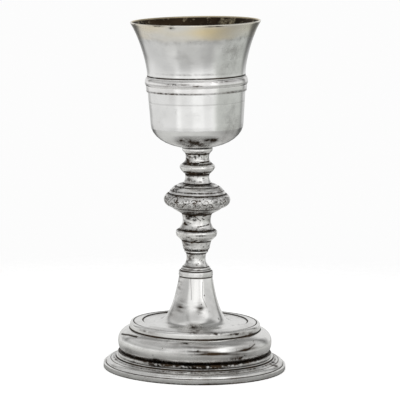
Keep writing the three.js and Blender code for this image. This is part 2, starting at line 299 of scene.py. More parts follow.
class Effects:
    """The shader groups that more than one finish uses.

    A ramp is written as where it starts and ends and what it gives there, and a noise as its detail and
    roughness.
    """

    FINE = (6.0, 0.68)
    BROAD = (3.0, 0.6)
    BROAD_SHARE = 0.22
    SEAM_RAMP = (0.3, 0.5, 0.8, 1.25)
    SPOT_RAMP = (0.36, 0.62, 0.25, 1.9)
    CLOUD_RAMP = (0.42, 0.7, 0.0, 1.0)
    FRECKLE_RAMP = (0.6, 0.72, 0.0, 1.0)
    HUES = ((0.36, (0.012, 0.01, 0.007, 1)), (0.66, (0.07, 0.045, 0.027, 1)))
    PIT_SPREAD = 0.3
    PIT_LEAST = 0.12
    PIT_RAMP = (0.5, 1.0, 1.0, 0.0)
    WAVE = (2.0, 0.45)
    HAIR = (2.0, 0.5)
    HAIR_TURN = (0.5, 0.3, 0.9)
    HAIR_SCALE = (0.05, 1.0, 0.4)
    HAIR_RAMP = (0.66, 0.72, 0.0, 1.0)
    HAIR_DEPTH = 0.05

    def __init__(self) -> None:
        """Builds each group once."""
        self.tarnish = self._tarnish()
        self.pitting = self._pitting()
        self.hand_polish = self._hand_polish()

    @staticmethod
    def _group(
        name: str, inputs: dict[str, float | tuple[float, ...]], outputs: dict[str, str]
    ) -> tuple["Graph", bpy.types.Node, bpy.types.Node]:
        """Starts a shader group.

        Args:
            name: The group's name.
            inputs: Each input's name and default; a vector has three numbers.
            outputs: Each output's name and socket type.

        Returns:
            A graph on the group's tree, and its input and output nodes.
        """
        tree = bpy.data.node_groups.new(name, "ShaderNodeTree")
        for label, value in inputs.items():
            kind = "NodeSocketVector" if isinstance(value, tuple) else "NodeSocketFloat"
            tree.interface.new_socket(label, in_out="INPUT", socket_type=kind).default_value = value
        for label, kind in outputs.items():
            tree.interface.new_socket(label, in_out="OUTPUT", socket_type=kind)
        graph = Graph(tree)
        return graph, graph.add("NodeGroupInput"), graph.add("NodeGroupOutput")

    def _tarnish(self) -> bpy.types.NodeTree:
        """Tarnish that gathers in hollows and stain patches and breaks up into mottling; the painted shade
        and painted reflections among the patches go through it too.
        """
        graph, given, result = self._group(
            "tarnish",
            {
                "Vector": (0.0, 0.0, 0.0), "Hollow": 0.0, "Stain": 0.0, "Edge": 0.0,
                "Amount": 1.0, "Cloud": 0.1, "Scale": 300.0,
            },
            {"Mask": "NodeSocketFloat", "Color": "NodeSocketColor"},
        )
        fine = graph.noise(given.outputs["Vector"], given.outputs["Scale"], *self.FINE)
        broad_scale = graph.math("MULTIPLY", given.outputs["Scale"], self.BROAD_SHARE)
        broad = graph.noise(given.outputs["Vector"], broad_scale, *self.BROAD)
        seams = graph.math("MULTIPLY", given.outputs["Hollow"], given.outputs["Amount"])
        seams = graph.math("MULTIPLY", seams, graph.ramp(fine, *self.SEAM_RAMP))
        spots = graph.math("MULTIPLY", given.outputs["Stain"], graph.ramp(fine, *self.SPOT_RAMP))
        patchy = graph.math("ADD", seams, spots)
        cloud = graph.math("MULTIPLY", graph.ramp(broad, *self.CLOUD_RAMP), given.outputs["Cloud"])
        freckles = graph.math("MULTIPLY", graph.ramp(fine, *self.FRECKLE_RAMP), given.outputs["Cloud"])
        worn = graph.math("SUBTRACT", 1.0, given.outputs["Edge"])
        mask = graph.math("ADD", patchy, graph.math("MULTIPLY", graph.math("ADD", cloud, freckles), worn))
        hue = graph.add("ShaderNodeValToRGB", {"Fac": broad})
        for element, (position, color) in zip(hue.color_ramp.elements, self.HUES):
            element.position = position
            element.color = color
        graph.feed(result, {"Mask": graph.math("MINIMUM", mask, 1.0), "Color": hue.outputs["Color"]})
        return graph.tree

    def _pitting(self) -> bpy.types.NodeTree:
        """Small casting pits, scattered and of uneven size."""
        graph, given, result = self._group(
            "casting pits",
            {"Vector": (0.0, 0.0, 0.0), "Scale": 900.0, "Amount": 0.3},
            {"Mask": "NodeSocketFloat", "Height": "NodeSocketFloat"},
        )
        spread = {"Vector": given.outputs["Vector"], "Scale": given.outputs["Scale"]}
        cells = graph.add("ShaderNodeTexVoronoi", spread, feature="F1")
        reach = graph.add("ShaderNodeSeparateColor", {"Color": cells.outputs["Color"]})
        chosen = graph.math("LESS_THAN", reach.outputs["Red"], given.outputs["Amount"])
        size = graph.math("MULTIPLY_ADD", reach.outputs["Green"], self.PIT_SPREAD, self.PIT_LEAST)
        ratio = graph.math("DIVIDE", cells.outputs["Distance"], size)
        dip = graph.math("MULTIPLY", graph.ramp(ratio, *self.PIT_RAMP), chosen)
        graph.feed(result, {"Mask": dip, "Height": graph.math("MULTIPLY", dip, -1.0)})
        return graph.tree

    def _hand_polish(self) -> bpy.types.NodeTree:
        """Waves left by the hammer, with fine scratches from centuries of polishing."""
        graph, given, result = self._group(
            "hand polish",
            {"Vector": (0.0, 0.0, 0.0), "Wave Scale": 60.0, "Scratch Scale": 1500.0},
            {"Height": "NodeSocketFloat", "Scratches": "NodeSocketFloat"},
        )
        wave = graph.noise(given.outputs["Vector"], given.outputs["Wave Scale"], *self.WAVE)
        drawn_out = {"Vector": given.outputs["Vector"], "Rotation": self.HAIR_TURN, "Scale": self.HAIR_SCALE}
        turned = graph.add("ShaderNodeMapping", drawn_out, vector_type="POINT")
        hair = graph.noise(turned.outputs["Vector"], given.outputs["Scratch Scale"], *self.HAIR)
        lines = graph.ramp(hair, *self.HAIR_RAMP)
        height = graph.math("MULTIPLY_ADD", lines, -self.HAIR_DEPTH, wave)
        graph.feed(result, {"Height": height, "Scratches": lines})
        return graph.tree


class Graph:
    """Adds nodes to one tree and joins them."""

    def __init__(self, tree: bpy.types.NodeTree) -> None:
        """Keeps the tree that nodes are added to."""
        self.tree = tree

    def add(
        self, kind: str, inputs: dict[str | int, object] | None = None, **settings: object
    ) -> bpy.types.Node:
        """Adds a node.

        Args:
            kind: The node's type.
            inputs: What goes into its inputs, by name or number.
            settings: The node's own properties, which are set before the inputs.

        Returns:
            The new node.
        """
        node = self.tree.nodes.new(kind)
        for name, value in settings.items():
            setattr(node, name, value)
        return self.feed(node, inputs or {})

    def feed(self, node: bpy.types.Node, inputs: dict[str | int, object]) -> bpy.types.Node:
        """Joins or writes to a node's inputs, by name or number, and gives the node back."""
        for name, value in inputs.items():
            self.join(value, node.inputs[name])
        return node

    def join(self, source: object, target: bpy.types.NodeSocket) -> None:
        """Links a socket to an input, or writes a plain value into it."""
        if isinstance(source, bpy.types.NodeSocket):
            self.tree.links.new(source, target)
        else:
            target.default_value = source

    def math(self, operation: str, *values: object) -> bpy.types.NodeSocket:
        """One step of arithmetic on sockets or numbers."""
        node = self.add("ShaderNodeMath", operation=operation)
        for value, target in zip(values, node.inputs):
            self.join(value, target)
        return node.outputs[0]

    def noise(self, vector: object, scale: object, detail: float, rough: float) -> bpy.types.NodeSocket:
        """Fractal noise, from 0 to 1."""
        inputs = {"Vector": vector, "Scale": scale, "Detail": detail, "Roughness": rough}
        return self.add("ShaderNodeTexNoise", inputs).outputs["Fac"]

    def ramp(self, value: object, low: float, high: float, first: float, last: float) -> bpy.types.NodeSocket:
        """A smooth step between two values."""
        inputs = {"Value": value, "From Min": low, "From Max": high, "To Min": first, "To Max": last}
        return self.add("ShaderNodeMapRange", inputs, interpolation_type="SMOOTHSTEP").outputs["Result"]

    def mix(self, share: object, first: object, second: object, blend: str = "MIX") -> bpy.types.NodeSocket:
        """Blends two colours, whose sockets on the mix node are its numbers 6 and 7."""
        inputs = {0: share, 6: first, 7: second}
        return self.add("ShaderNodeMix", inputs, data_type="RGBA", blend_type=blend).outputs[2]

    def choose(self, share: object, first: object, second: object) -> bpy.types.NodeSocket:
        """Mixes two shaders."""
        return self.add("ShaderNodeMixShader", {0: share, 1: first, 2: second}).outputs[0]

    def by_viewer(self, mirrored: object, seen: object) -> bpy.types.NodeSocket:
        """One shader for light and reflections, another for what the camera sees directly."""
        return self.choose(self.add("ShaderNodeLightPath").outputs["Is Camera Ray"], mirrored, seen)

    def bump(
        self, height: object, strength: float, depth: float, over: object | None = None
    ) -> bpy.types.NodeSocket:
        """Relief that only the shading shows.

        Args:
            height: The relief, in which 1 stands for the whole depth.
            strength: How much of it shows.
            depth: Its depth in millimetres.
            over: The relief that it lies over, if any.

        Returns:
            The bent normal.
        """
        inputs = {"Height": height, "Strength": strength, "Distance": depth * MM}
        if over is not None:
            inputs["Normal"] = over
        return self.add("ShaderNodeBump", inputs).outputs["Normal"]

    def attribute(self, name: str) -> bpy.types.NodeSocket:
        """A value kept on the mesh's points."""
        return self.add("ShaderNodeAttribute", attribute_name=name).outputs["Fac"]


@dataclass(frozen=True)
class SilverFinish:
    """One silver surface, as its polish, its tarnish and its gilding."""

    name: str
    silver: Color
    roughness: float
    hollow_tarnish: float
    cloud: float
    mottle_scale: float = 300.0
    wave: float = 0.25
    wave_scale: float = 60.0
    pit_amount: float = 0.0
    pit_scale: float = 900.0
    gilt: Color | None = None
    wave_depth: float = 0.4
    pit_depth: float = 0.15
    pit_strength: float = 0.6
    pit_dark: float = 0.8
    tarnish_roughness: float = 0.35
    scratch_roughness: float = 0.06

    def material(self, effects: Effects) -> bpy.types.Material:
        """Builds the material.

        Args:
            effects: The shared shader groups.

        Returns:
            The new material.
        """
        made = bpy.data.materials.new(self.name)
        made.use_nodes = True
        graph = Graph(made.node_tree)
        place = {"Vector": graph.add("ShaderNodeTexCoord").outputs["Object"]}
        polish = self._group(graph, effects.hand_polish, place | {"Wave Scale": self.wave_scale})
        # Hollow and Stain also bring in the painted shadows under rings and the painted dark reflections
        marks = {name: graph.attribute(name.lower()) for name in ("Hollow", "Stain", "Edge")}
        amounts = {"Amount": self.hollow_tarnish, "Cloud": self.cloud, "Scale": self.mottle_scale}
        tarnish = self._group(graph, effects.tarnish, place | marks | amounts)
        size = {"Scale": self.pit_scale, "Amount": self.pit_amount}
        pits = self._group(graph, effects.pitting, place | size)
        base: object = (*self.silver, 1.0)
        if self.gilt:
            base = graph.mix(graph.attribute("gilt"), base, (*self.gilt, 1.0))
        pitted = graph.math("MULTIPLY", pits.outputs["Mask"], self.pit_dark)
        dark = graph.math("MAXIMUM", tarnish.outputs["Mask"], pitted)
        rough = graph.math("MULTIPLY_ADD", dark, self.tarnish_roughness, self.roughness)
        rough = graph.math("MULTIPLY_ADD", polish.outputs["Scratches"], self.scratch_roughness, rough)
        waves = graph.bump(polish.outputs["Height"], self.wave, self.wave_depth)
        dips = graph.bump(pits.outputs["Height"], self.pit_strength, self.pit_depth, waves)
        color = graph.mix(dark, base, tarnish.outputs["Color"])
        surface = {"Metallic": 1.0, "Base Color": color, "Roughness": rough, "Normal": dips}
        graph.feed(made.node_tree.nodes["Principled BSDF"], surface)
        return made

    @staticmethod
    def _group(graph: Graph, tree: bpy.types.NodeTree, inputs: dict[str | int, object]) -> bpy.types.Node:
        """Places a shared group with its own values."""
        return graph.add("ShaderNodeGroup", inputs, node_tree=tree)


def mark_points(mesh: bpy.types.Mesh, name: str, values: np.ndarray) -> None:
    """Keeps one value from 0 to 1 on each of the mesh's points."""
    attribute = mesh.attributes.new(name, "FLOAT", "POINT")
    attribute.data.foreach_set("value", np.clip(values, 0, 1).astype(np.float32))


@dataclass
class TurnedPiece:
    """A piece spun on the lathe: its outline, its marks and its place in the chalice."""

    UNEVEN_SEED = 0.37
    STREAK_SEED = 2.6
    # A smudge shows at the first share, give or take the second along the streaks, and never above the last
    SMUDGE_SHARE = 0.75
    STREAK_SHARE = 1.3
    SMUDGE_MOST = 1.6

    node: str = ""
    slot: str = ""
    sides: int = 240
    spacing: float = 1.0
    softness: float = 0.22
    unevenness: float = 0.05
    unevenness_scale: float = 9.0
    bend_reach: float = 0.9
    groove_reach: float = 0.35
    shallow: float = 0.09
    hollow_gain: float = 9.0
    stroke_tarnish: float = 11.0
    seam_width: float = 0.4
    low_seam: float = 1.0
    top_seam: float = 1.0
    stains_and_painted_shading: tuple[Stain, ...] = ()
    smudges_and_painted_shadow: tuple[Stain, ...] = ()
    streak_scale: float = 3.6
    streak_squeeze: float = 2.6
    specks: tuple[Specks, ...] = ()
    dents: tuple[Dent, ...] = ()
    strokes: tuple[Stroke, ...] = ()
    place: Matrix = field(default_factory=lambda: Matrix.Identity(4))

    def outline(self) -> Profile:
        """The piece's outline, which each kind of piece draws."""
        raise NotImplementedError

    def relief(self, angles: np.ndarray, points: np.ndarray) -> np.ndarray:
        """Height of the chasing over the turned surface, flat unless a piece carries some."""
        return np.zeros((len(points), len(angles)))

    def gilding(self, angles: np.ndarray, points: np.ndarray) -> np.ndarray | None:
        """Share of gold over the surface, or None where a piece has no gilding."""
        return None

    def build(self, material: bpy.types.Material) -> bpy.types.Object:
        """Spins the outline, marks the surface and puts the piece on its body.

        Args:
            material: The finish that it wears.

        Returns:
            The finished object.
        """
        points = self.outline().finished(self.softness, self.spacing)
        angles = np.arange(self.sides) * (2 * math.pi / self.sides)
        normals = self._normals(points)
        offset = self._unevenness(angles, points) + self.relief(angles, points)
        offset -= self._dented(angles, points)
        cut = self._stroked(angles, points)
        offset -= cut
        offset[points[:, 0] < SAME_PLACE] = 0
        vertices, faces, keep = self._spun(points, angles, normals, offset)
        mesh = bpy.data.meshes.new(self.node)
        mesh.from_pydata(vertices, [], faces)
        hollow = np.repeat(self._hollow(points, normals)[:, None], self.sides, 1)
        edge = -self._bend(points, normals, self.groove_reach) - self.shallow
        # The hollow mark takes the painted shadows among the smudge marks, the stain mark the painted shade
        # and reflections among the patches
        marks = {
            "hollow": hollow + cut * self.stroke_tarnish + self._smudged_and_shaded(angles, points),
            "edge": np.repeat(edge[:, None] * self.hollow_gain, self.sides, 1),
            "stain": self._stained_and_shaded(angles, points),
            "gilt": self.gilding(angles, points),
        }
        rows, columns = np.array(keep).T
        for name, values in marks.items():
            if values is not None:
                mark_points(mesh, name, values[rows, columns])
        return finish_piece(mesh, self.node, material, self.place)

    @staticmethod
    def _normals(points: np.ndarray) -> np.ndarray:
        """Outward directions along the outline."""
        along = np.gradient(points, axis=0)
        along /= np.maximum(np.linalg.norm(along, axis=1)[:, None], TINY)
        return np.column_stack((along[:, 1], -along[:, 0]))

    def _unevenness(self, angles: np.ndarray, points: np.ndarray) -> np.ndarray:
        """The slight waves that hand work and wear leave in the metal."""
        seed = sum(map(ord, self.node)) * self.UNEVEN_SEED
        return ripples(angles, points[:, 1], self.unevenness_scale, seed) * self.unevenness

    @staticmethod
    def _bend(points: np.ndarray, normals: np.ndarray, reach: float) -> np.ndarray:
        """How far the outline bends at each point: above 0 in a hollow, below 0 on an edge.

        Args:
            points: The outline.
            normals: Its outward directions.
            reach: How far along the outline its neighbours are taken.

        Returns:
            The bend at each point, as a share of the reach.
        """
        run = np.concatenate(([0.0], np.cumsum(np.linalg.norm(np.diff(points, axis=0), axis=1))))
        ahead = np.column_stack([np.interp(run + reach, run, points[:, k]) for k in (0, 1)])
        behind = np.column_stack([np.interp(run - reach, run, points[:, k]) for k in (0, 1)])
        return (((ahead + behind) / 2 - points) * normals).sum(1) / reach

    def _hollow(self, points: np.ndarray, normals: np.ndarray) -> np.ndarray:
        """Dark in grooves, inner corners and narrow coves and where the piece meets the next one."""
        broad = self._bend(points, normals, self.bend_reach)
        narrow = self._bend(points, normals, self.groove_reach)
        corners = (np.maximum(broad, narrow) - self.shallow) * self.hollow_gain
        height = points[:, 1]
        seams = self.low_seam * np.exp(-(((height - height.min()) / self.seam_width) ** 2))
        seams += self.top_seam * np.exp(-(((height.max() - height) / self.seam_width) ** 2))
        return np.clip(np.maximum(corners, seams), 0, 1)

    @staticmethod
    def _patched(marks: tuple[Stain, ...], angles: np.ndarray, points: np.ndarray) -> np.ndarray:
        """The given patches, added up over the whole piece."""
        return patches(marks, angles[None, :], points[:, :1], points[:, 1:])

    def _stained_and_shaded(self, angles: np.ndarray, points: np.ndarray) -> np.ndarray:
        """The tarnish patches, with the painted shade and painted reflections among them, and the specks over
        the whole piece.
        """
        return self._patched(sum((strewn.strewn() for strewn in self.specks), self.stains_and_painted_shading), angles, points)

    def _smudged_and_shaded(self, angles: np.ndarray, points: np.ndarray) -> np.ndarray:
        """Soft dark smudge marks, some of them painted shadows under rings, drawn out into streaks by wiping
        round the piece.
        """
        if not self.smudges_and_painted_shadow:
            return np.zeros((len(points), len(angles)))
        heights = points[:, 1] * self.streak_squeeze
        streaks = ripples(angles, heights, self.streak_scale, self.STREAK_SEED)
        share = np.clip(self.SMUDGE_SHARE + self.STREAK_SHARE * streaks, 0, self.SMUDGE_MOST)
        return self._patched(self.smudges_and_painted_shadow, angles, points) * share

    def _dented(self, angles: np.ndarray, points: np.ndarray) -> np.ndarray:
        """The depth of the knocks."""
        total = np.zeros((len(points), len(angles)))
        for mark in self.dents:
            across = turned_from(angles, mark.angle)[None, :] * points[:, :1] / mark.size
            rise = (points[:, 1:] - mark.height) / mark.size
            total += mark.depth * np.exp(-(across**2 + rise**2))
        return total

    def _stroked(self, angles: np.ndarray, points: np.ndarray) -> np.ndarray:
        """The depth of the cut lines."""
        total = np.zeros((len(points), len(angles)))
        for stroke in self.strokes:
            gap = np.full(total.shape, np.inf)
            for (a0, h0), (a1, h1) in zip(stroke.points, stroke.points[1:]):
                across = turned_from(angles, (a0 + a1) / 2)[None, :] * points[:, :1]
                rise = np.broadcast_to(points[:, 1:] - (h0 + h1) / 2, across.shape)
                half = np.radians((a1 - a0) / 2) * points[:, :1]
                climb = (h1 - h0) / 2
                length = np.maximum(half**2 + climb**2, TINY)
                share = np.clip((across * half + rise * climb) / length, -1, 1)
                gap = np.minimum(gap, np.hypot(across - share * half, rise - share * climb))
            total = np.maximum(total, stroke.depth * np.exp(-((gap / stroke.width) ** 2)))
        return total

    def _spun(
        self, points: np.ndarray, angles: np.ndarray, normals: np.ndarray, offset: np.ndarray
    ) -> tuple[list[tuple[float, ...]], list[tuple[int, ...]], list[tuple[int, int]]]:
        """Joins the rings into faces, with one vertex where the outline meets the axis.

        Args:
            points: The outline.
            angles: Angles round the axis in radians, one for each side.
            normals: The outline's outward directions.
            offset: How far each place stands out from the turned surface.

        Returns:
            Vertices in metres, faces, and each vertex's row and column.
        """
        radius = points[:, :1] + normals[:, :1] * offset
        height = points[:, 1:] + normals[:, 1:] * offset
        vertices, keep, rings = [], [], []
        for row, (radii, heights) in enumerate(zip(radius, height)):
            if points[row, 0] < SAME_PLACE:
                rings.append([len(vertices)] * self.sides)
                vertices.append((0.0, 0.0, float(points[row, 1]) * MM))
                keep.append((row, 0))
                continue
            rings.append(list(range(len(vertices), len(vertices) + self.sides)))
            for column, angle in enumerate(angles):
                r, z = float(radii[column]), float(heights[column])
                vertices.append((r * math.sin(angle) * MM, -r * math.cos(angle) * MM, z * MM))
                keep.append((row, column))
        faces = []
        for low, high in zip(rings, rings[1:]):
            for i in range(self.sides):
                j = (i + 1) % self.sides
                corners = tuple(dict.fromkeys((low[i], low[j], high[j], high[i])))
                if len(corners) > 2:
                    faces.append(corners)
        return vertices, faces, keep


def linked(name: str, data: bpy.types.ID) -> bpy.types.Object:
    """Makes an object and links it to the scene."""
    made = bpy.data.objects.new(name, data)
    bpy.context.scene.collection.objects.link(made)
    return made


def finish_piece(
    mesh: bpy.types.Mesh, node: str, material: bpy.types.Material, place: Matrix
) -> bpy.types.Object:
    """Closes a mesh, puts it in place and ties it to the solid that it stands for.

    Args:
        mesh: The piece, in its own place on the lathe.
        node: The solid that it stands for.
        material: Its finish.
        place: Where it stands in the chalice.

    Returns:
        The object, at the origin.
    """
    shape = bmesh.new()
    shape.from_mesh(mesh)
    bmesh.ops.remove_doubles(shape, verts=shape.verts, dist=WELD)
    bmesh.ops.recalc_face_normals(shape, faces=shape.faces)
    shape.to_mesh(mesh)
    shape.free()
    mesh.transform(place)
    mesh.polygons.foreach_set("use_smooth", [True] * len(mesh.polygons))
    mesh.materials.clear()
    mesh.materials.append(material)
    piece = linked(f"{node}_dressed", mesh)
    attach(piece, BODY)
    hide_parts(node)
    return piece


def standing_on(node: str) -> Matrix:
    """The place of an upright piece, from the foot of its solid."""
    return Matrix.Translation((0, 0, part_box(node)[0].z))


@dataclass
class FootFlange(TurnedPiece):
    """The stepped flange that stands on the table."""

    node: str = "foot_flange"
    slot: str = "flange_silver"
    sides: int = 300
    stains_and_painted_shading: tuple[Stain, ...] = (
        # Darker in front, under the cushion
        Stain(4, 11.5, 36.0, 1.0, 1.0),
        Stain(0, 11.6, ALL_ROUND, 0.5, 0.4),
        Stain(4, 10.4, 26.0, 0.8, 0.4),
        Stain(20, 9.6, 12.0, 0.6, 0.4),
        Stain(0, 7.0, ALL_ROUND, 0.35, 0.5),
        Stain(-30, 9.9, 6.5, 0.9, 0.7),
        Stain(-52, 9.4, 4.0, 0.7, 0.4),
        Stain(8, 9.2, 14.0, 0.6, 0.35),
        Stain(69, 5.8, 2.4, 0.8, 0.7),
        Stain(75, 6.8, 1.8, 0.6, 0.6),
        Stain(20, 0.5, 60.0, 0.5, 0.5),
        Stain(150, 5.0, 12.0, 1.2, 0.4),
        Stain(-140, 9.5, 9.0, 0.8, 0.5),
    )
    smudges_and_painted_shadow: tuple[Stain, ...] = (
        Stain(8, 9.6, 38.0, 1.5, 0.32),
        Stain(10, 1.6, 30.0, 1.6, 0.3),
    )
    top_seam: float = 0.5
    dents: tuple[Dent, ...] = (
        Dent(-40, 3.4, 1.6, 0.14),
        Dent(24, 3.4, 1.2, 0.12),
        Dent(118, 3.3, 2.2, 0.2),
    )
    radius: float = 63.0
    bed_width: float = 6.0
    edge_round: float = 0.4
    edge_height: float = 3.5
    rim_width: float = 1.3
    groove: float = 0.4
    ovolo_radius: float = 58.6
    ovolo_rise: float = 2.6
    cove_radius: float = 54.3
    cove_rise: float = 2.1
    cove_depth: float = 0.4
    fillet_rise: float = 0.7
    bead_radius: float = 52.4
    bead_rise: float = 2.6
    bead_bulge: float = 1.0
    opening_radius: float = 48.5
    wall: float = 1.5

    def outline(self) -> Profile:
        """Up the mouldings, over the seat and down the inside."""
        line = self.radius - self.rim_width - self.groove
        made = Profile(self.radius - self.bed_width)
        made.line(self.radius - self.edge_round).turn_up(self.radius, self.edge_round)
        made.line(self.radius, self.edge_height - 2 * self.edge_round)
        made.turn_in(self.radius - self.rim_width, self.edge_round)
        made.line(line, -self.groove).line(line, self.groove)
        made.turn_in(self.ovolo_radius, self.ovolo_rise)
        made.bead(self.cove_radius, self.cove_rise, -self.cove_depth)
        made.line(self.cove_radius, self.fillet_rise).line(self.bead_radius)
        made.bead(self.bead_radius, self.bead_rise, self.bead_bulge)
        made.line(self.opening_radius)
        top = made.end[1]
        made.line(self.opening_radius, -self.wall).line(self.bead_radius - self.wall)
        return made.line(self.radius - self.bed_width, self.wall - top)


@dataclass
class Foot(TurnedPiece):
    """The raised foot: cushion, disc with a sunk dish, and the trumpet, hollow beneath."""

    node: str = "foot"
    slot: str = "foot_silver"
    sides: int = 300
    unevenness: float = 0.06
    top_seam: float = 0.6
    specks: tuple[Specks, ...] = (Specks(26, 2.0, 21.0, 3),)
    stains_and_painted_shading: tuple[Stain, ...] = (
        # Darker in front, under the cushion
        Stain(4, 0.6, 34.0, 1.3, 0.9),
        Stain(0, 0.1, ALL_ROUND, 0.5, 0.4),
        # Painted dark reflection of the stem in the dish, in front
        Stain(0, 20.9, 4.0, 1.6, 0.6),
        Stain(-23, 15.0, 1.0, 0.5, 0.8),
        Stain(-8, 14.4, 3.6, 0.5, 0.7),
        Stain(-29, 1.8, 6.0, 1.5, 0.6),
        Stain(34, 3.4, 9.0, 1.3, 0.5),
        Stain(-62, 4.0, 7.0, 2.0, 0.3),
        Stain(18, 19.8, 5.0, 0.8, 0.8),
        Stain(38, 18.6, 8.0, 0.9, 0.75),
        Stain(57, 17.0, 6.0, 0.8, 0.7),
        Stain(-48, 18.4, 8.0, 0.7, 0.45),
        Stain(152, 10.0, 14.0, 4.0, 0.35),
        Stain(-135, 24.0, 12.0, 3.0, 0.3),
        Stain(120, 19.4, 9.0, 0.9, 0.5),
    )
    smudges_and_painted_shadow: tuple[Stain, ...] = (
        Stain(8, 9.6, 18.0, 3.6, 0.6),
        Stain(36, 7.6, 16.0, 4.0, 0.6),
        Stain(-16, 13.0, 14.0, 1.4, 0.35),
        Stain(-52, 5.0, 10.0, 2.0, 0.2),
        Stain(-38, 33.0, 4.6, 3.6, 0.5),
        Stain(11, 32.0, 3.2, 4.6, 0.5),
        Stain(-64, 27.0, 5.0, 2.6, 0.3),
        Stain(-70, 50.0, 6.0, 12.0, 0.3),
        Stain(150, 11.0, 20.0, 3.0, 0.4),
    )
    low_seam: float = 0.4
    dents: tuple[Dent, ...] = (
        Dent(-36, 9.0, 6.0, 0.3),
        Dent(18, 11.0, 8.0, 0.35),
        Dent(48, 7.0, 5.0, 0.25),
        Dent(-70, 12.0, 6.0, 0.25),
        Dent(110, 10.0, 8.0, 0.35),
        Dent(-150, 9.0, 9.0, 0.4),
    )
    strokes: tuple[Stroke, ...] = (
        Stroke(((-80, 12.6), (-66, 14.2), (-53, 14.5)), 0.4, 0.1),
        Stroke(((-18, 52.0), (-13, 44.0), (-11, 38.0)), 0.22, 0.04),
        Stroke(((24, 50.0), (20, 40.0), (30, 33.0)), 0.22, 0.04),
        Stroke(((40, 8.0), (52, 11.5)), 0.3, 0.06),
    )
    wall: float = 1.4
    seat_radius: float = 49.6
    cushion_radius: float = 53.2
    lower_rise: float = 7.6
    upper_rise: float = 8.2
    disc_radius: float = 45.1
    disc_edge_rise: float = 2.8
    disc_round_width: float = 1.9
    disc_round_rise: float = 2.1
    line_depth: float = 0.3
    border_radius: float = 36.9
    border_rise: float = 1.2
    dish_depth: float = 0.8
    trumpet_foot_radius: float = 26.0
    trumpet_rise: float = 31.9
    flare: float = 7.0
    taper: float = 3.0
    taper_rise: float = 18.0
    ring_radius: float = 11.8
    ring_groove: float = 0.35
    ring_rise: float = 2.65
    ring_round: float = 0.9
    seat_above: float = 10.7

    def outline(self) -> Profile:
        """Down the inside from the ceiling, round the seat and up the outside."""
        disc_top = self.lower_rise + self.upper_rise + self.disc_edge_rise + self.disc_round_rise
        dish = disc_top - self.line_depth + self.border_rise - self.dish_depth
        inner = Profile(self.seat_radius - self.wall)
        inner.turn_up(self.cushion_radius - self.wall, self.lower_rise)
        inner.turn_in(self.disc_radius - self.wall, self.upper_rise - self.wall)
        inner.line(self.disc_radius - self.wall, dish - self.wall - inner.end[1])
        inner.line(self.trumpet_foot_radius - self.wall)
        arms = (-self.flare, 0.0), (-self.taper, self.taper_rise)
        inner.sweep(self.ring_radius - self.wall, self.trumpet_rise, *arms)
        inner.line(0)
        line = self.disc_radius - self.disc_round_width
        outer = Profile(self.seat_radius)
        outer.turn_up(self.cushion_radius, self.lower_rise).turn_in(self.disc_radius, self.upper_rise)
        outer.line(self.disc_radius, self.disc_edge_rise).turn_in(line, self.disc_round_rise)
        outer.line(line - self.line_depth, -self.line_depth).line(self.border_radius, self.border_rise)
        outer.line(self.border_radius - self.dish_depth / 2, -self.dish_depth)
        outer.line(self.trumpet_foot_radius)
        outer.sweep(self.ring_radius - self.ring_groove, self.trumpet_rise, *arms)
        outer.line(self.ring_radius, self.ring_groove).line(self.ring_radius, self.ring_rise)
        outer.turn_in(self.seat_above, self.ring_round).line(0)
        outer.points = inner.points[::-1] + outer.points
        return outer


